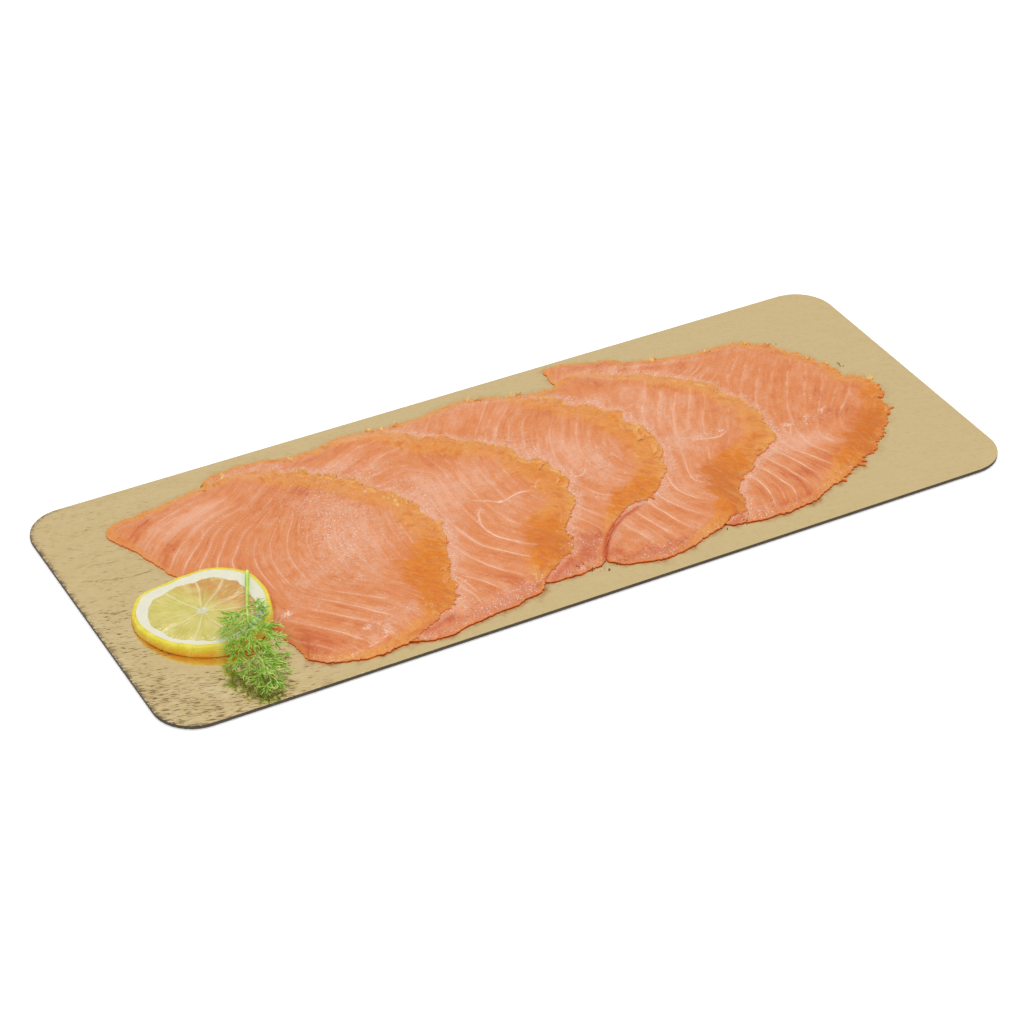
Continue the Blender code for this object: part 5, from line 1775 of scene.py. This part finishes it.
def build_dill(garnish, finish):
    """The sprig: a bare stem, a leafy spine and fronds of fine tapered tubes, in one mesh. Threads have three
    sides and all else four."""
    random = np.random.default_rng(33)
    floor, lowest = BOARD_TOP + 1.0, BOARD_TOP + 0.25
    rows = []
    for path, (thick, thin) in ((STEM, STEM_RADII), (PLUME, PLUME_RADII)):
        points = along_path(path, np.linspace(0, 1, 8))
        radii = np.linspace(thick, thin, 8)
        for k in range(7):
            rows.append((points[k], points[k + 1], np.zeros(3), radii[k], radii[k + 1], RIB))
    for share, tip in FRONDS:
        base = along_path(PLUME, [share])[0]
        size = np.linalg.norm(np.array(tip) - base)
        twigs = int(round(garnish.frond_twigs * min(1.0, size / 14 + 0.3)))
        rows += frond(random, base, np.array(tip, float), twigs, floor)

    *shapes, rank = (np.array([row[i] for row in rows]) for i in range(6))
    kinds = []
    for chosen, sides, rings in ((rank == THREAD, 3, 4), (rank != THREAD, 4, 6)):
        points, quads, triangles, share = tubes(*(shape[chosen] for shape in shapes), sides, rings)
        order = np.repeat(rank[chosen] + random.uniform(0, 0.9, chosen.sum()), sides * rings)
        offset = sum(len(kind[0]) for kind in kinds)
        kinds.append((points, quads + offset, triangles + offset, share, order))
    points, quads, triangles, share, order = (np.concatenate(values) for values in zip(*kinds))
    points[:, 2] = np.maximum(points[:, 2], lowest)
    order, luck = np.divmod(order, 1)
    tip = np.where(order == THREAD, 0.55 * share + luck - 0.2, 0.6 * (order == RIB) + 0.5 * luck)
    # Painted shade: leaves low in the sprig are darker, and some others at random.
    depth = np.clip((8.5 - points[:, 2]) / 6.0, 0, 1)
    deep = np.clip(depth * 0.7 + (0.35 - luck) * 0.9, 0, 1) * (order > RIB)
    painted = {"tip": np.clip(tip, 0, 1), "deep": deep}
    piece = solid("dill", points, quads, triangles, finish, painted)
    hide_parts("dill_sprig")


# ---- the stage


# The lens in millimetres, angles in degrees, and distances in metres.
CAMERA_LENS, CAMERA_SENSOR = 111.5, 36.0
CAMERA_YAW, CAMERA_PITCH, CAMERA_ROLL = -28.13, 35.16, 0.355
CAMERA_DISTANCE = 1.369
CAMERA_ASIDE = (-0.00432, -0.00965)
FLOOR_HALF, FLOOR_DROP = 6.0, 0.0003
# How high in the sky, as the upward part of the direction, the brightening starts.
SKY_RISE = 0.68
# Each light's place and its two sides.
KEY_LIGHT = (0.25, 0.45, 1.4), (0.35, 0.3)
FILL_LIGHT = (-0.5, -1.2, 0.9), (1.0, 1.0)


def build_camera():
    """Looks at the middle of the board's top from the front and the lemon's end, then moves a little
    aside."""
    yaw, pitch, roll = (math.radians(a) for a in (CAMERA_YAW, CAMERA_PITCH, CAMERA_ROLL))
    forward = Vector((-math.sin(yaw) * math.cos(pitch), math.cos(yaw) * math.cos(pitch), -math.sin(pitch)))
    right = Vector((math.cos(yaw), math.sin(yaw), 0.0))
    up = right.cross(forward)
    turn = Matrix.Rotation(roll, 3, forward)
    right, up = turn @ right, turn @ up
    aim = Vector((0, 0, BOARD_TOP * MM))
    place = aim - forward * CAMERA_DISTANCE + right * CAMERA_ASIDE[0] + up * CAMERA_ASIDE[1]
    data = bpy.data.cameras.new("camera")
    data.lens = CAMERA_LENS
    data.sensor_width = CAMERA_SENSOR
    camera = bpy.data.objects.new("camera", data)
    axes = Matrix((right, up, -forward)).transposed()
    camera.matrix_world = Matrix.Translation(place) @ axes.to_4x4()
    bpy.context.scene.collection.objects.link(camera)
    bpy.context.scene.camera = camera


def build_light(name, place, size, power):
    """A flat light that faces the board's middle."""
    data = bpy.data.lights.new(name, "AREA")
    data.shape = "RECTANGLE"
    data.size, data.size_y = size
    data.energy = power
    light = bpy.data.objects.new(name, data)
    away = Vector(place).normalized().to_track_quat("Z", "Y")
    light.matrix_world = Matrix.Translation(place) @ away.to_matrix().to_4x4()
    bpy.context.scene.collection.objects.link(light)


def build_stage(stage):
    """A pale floor, a soft sky that brightens overhead, one light behind and above, and a softer one in
    front."""
    mesh = bpy.data.meshes.new("floor")
    corners = [(x * FLOOR_HALF, y * FLOOR_HALF, -FLOOR_DROP) for x, y in ((-1, -1), (1, -1), (1, 1), (-1, 1))]
    mesh.from_pydata(corners, [], [(0, 1, 2, 3)])
    f = Finish("pale_floor")
    speck = f.noise(f.place(), 9.0, 2.0)
    finish = f.done(
        Base_Color=f.mix(speck, stage.floor, FLOOR_SPECK),
        Roughness=0.8 + speck.sway(0.1),
        Emission_Color=(1.0, 1.0, 1.0),
        Emission_Strength=stage.floor_glow,
    )
    mesh.materials.append(finish)
    floor = bpy.data.objects.new("floor", mesh)
    bpy.context.scene.collection.objects.link(floor)

    world = bpy.data.worlds.new("soft_sky")
    world.use_nodes = True
    nodes, links = world.node_tree.nodes, world.node_tree.links
    direction = nodes.new("ShaderNodeTexCoord")
    parts = nodes.new("ShaderNodeSeparateXYZ")
    rise = nodes.new("ShaderNodeMapRange")
    rise.inputs["From Min"].default_value = SKY_RISE
    rise.inputs["To Min"].default_value = stage.sky_low
    rise.inputs["To Max"].default_value = stage.sky_high
    links.new(direction.outputs["Generated"], parts.inputs["Vector"])
    links.new(parts.outputs["Z"], rise.inputs["Value"])
    links.new(rise.outputs["Result"], nodes["Background"].inputs["Strength"])
    nodes["Background"].inputs["Color"].default_value = (1.0, 1.0, 1.0, 1.0)
    bpy.context.scene.world = world
    bpy.context.scene.view_settings.view_transform = "Standard"
    build_light("key", *KEY_LIGHT, stage.key_power)
    build_light("fill", *FILL_LIGHT, stage.fill_power)


# ---- operators


class SalmonBoardStage(Operator):
    """Set the floor, the lights and the camera."""

    bl_idname = "salmon_board.stage"
    bl_label = "Stage"

    def execute(self, context):
        build_camera()
        build_stage(settings(context)[3])
        return {"FINISHED"}


class SalmonBoardCard(Operator):
    """Face the card board with gold foil and finish its cut edge."""

    bl_idname = "salmon_board.card"
    bl_label = "Board"

    def execute(self, context):
        card = settings(context)[1]
        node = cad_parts["board"]
        node.data.materials.clear()
        node.data.materials.append(card_finish(card))
        build_foil(card, foil_finish(card))
        return {"FINISHED"}


class SalmonBoardSlices(Operator):
    """Lay the salmon slices and the flakes of their smoked edges."""

    bl_idname = "salmon_board.slices"
    bl_label = "Salmon slices"

    def execute(self, context):
        fish = settings(context)[0]
        finish = salmon_finish(fish)
        ground = Ground(BOARD_TOP + settings(context)[1].foil_thickness / MM)
        for number in range(SLICES, 0, -1):
            build_slice(number, fish, finish, ground)
        build_flakes(crumb_finish(fish), ground)
        return {"FINISHED"}


class SalmonBoardLemon(Operator):
    """Lay the lemon slice."""

    bl_idname = "salmon_board.lemon"
    bl_label = "Lemon slice"

    def execute(self, context):
        garnish = settings(context)[2]
        build_lemon(lemon_finish(garnish))
        return {"FINISHED"}


class SalmonBoardDill(Operator):
    """Lay the sprig of dill."""

    bl_idname = "salmon_board.dill"
    bl_label = "Dill"

    def execute(self, context):
        garnish = settings(context)[2]
        build_dill(garnish, dill_finish(garnish))
        return {"FINISHED"}


class SalmonBoardPanel(Panel):
    """Lists the operators in the sidebar."""

    bl_idname = "VIEW3D_PT_salmon_board"
    bl_label = "Salmon board"
    bl_space_type = "VIEW_3D"
    bl_region_type = "UI"
    bl_category = "Salmon board"

    def draw(self, context):
        for step in STEPS:
            self.layout.operator(step.bl_idname)


STEPS = (SalmonBoardStage, SalmonBoardCard, SalmonBoardSlices, SalmonBoardLemon, SalmonBoardDill)
GROUPS = {
    "salmon_board_fish": SalmonSettings,
    "salmon_board_card": BoardSettings,
    "salmon_board_garnish": GarnishSettings,
    "salmon_board_stage": StageSettings,
}


def register():
    for kind in (*GROUPS.values(), *STEPS, SalmonBoardPanel):
        bpy.utils.register_class(kind)
    for name, kind in GROUPS.items():
        setattr(bpy.types.Scene, name, PointerProperty(type=kind))


def unregister():
    for name in GROUPS:
        delattr(bpy.types.Scene, name)
    for kind in reversed((*GROUPS.values(), *STEPS, SalmonBoardPanel)):
        bpy.utils.unregister_class(kind)


def main():
    register()
    bpy.ops.salmon_board.stage()
    bpy.ops.salmon_board.card()
    bpy.ops.salmon_board.slices()
    bpy.ops.salmon_board.lemon()
    bpy.ops.salmon_board.dill()


if __name__ == "__main__":
    main()
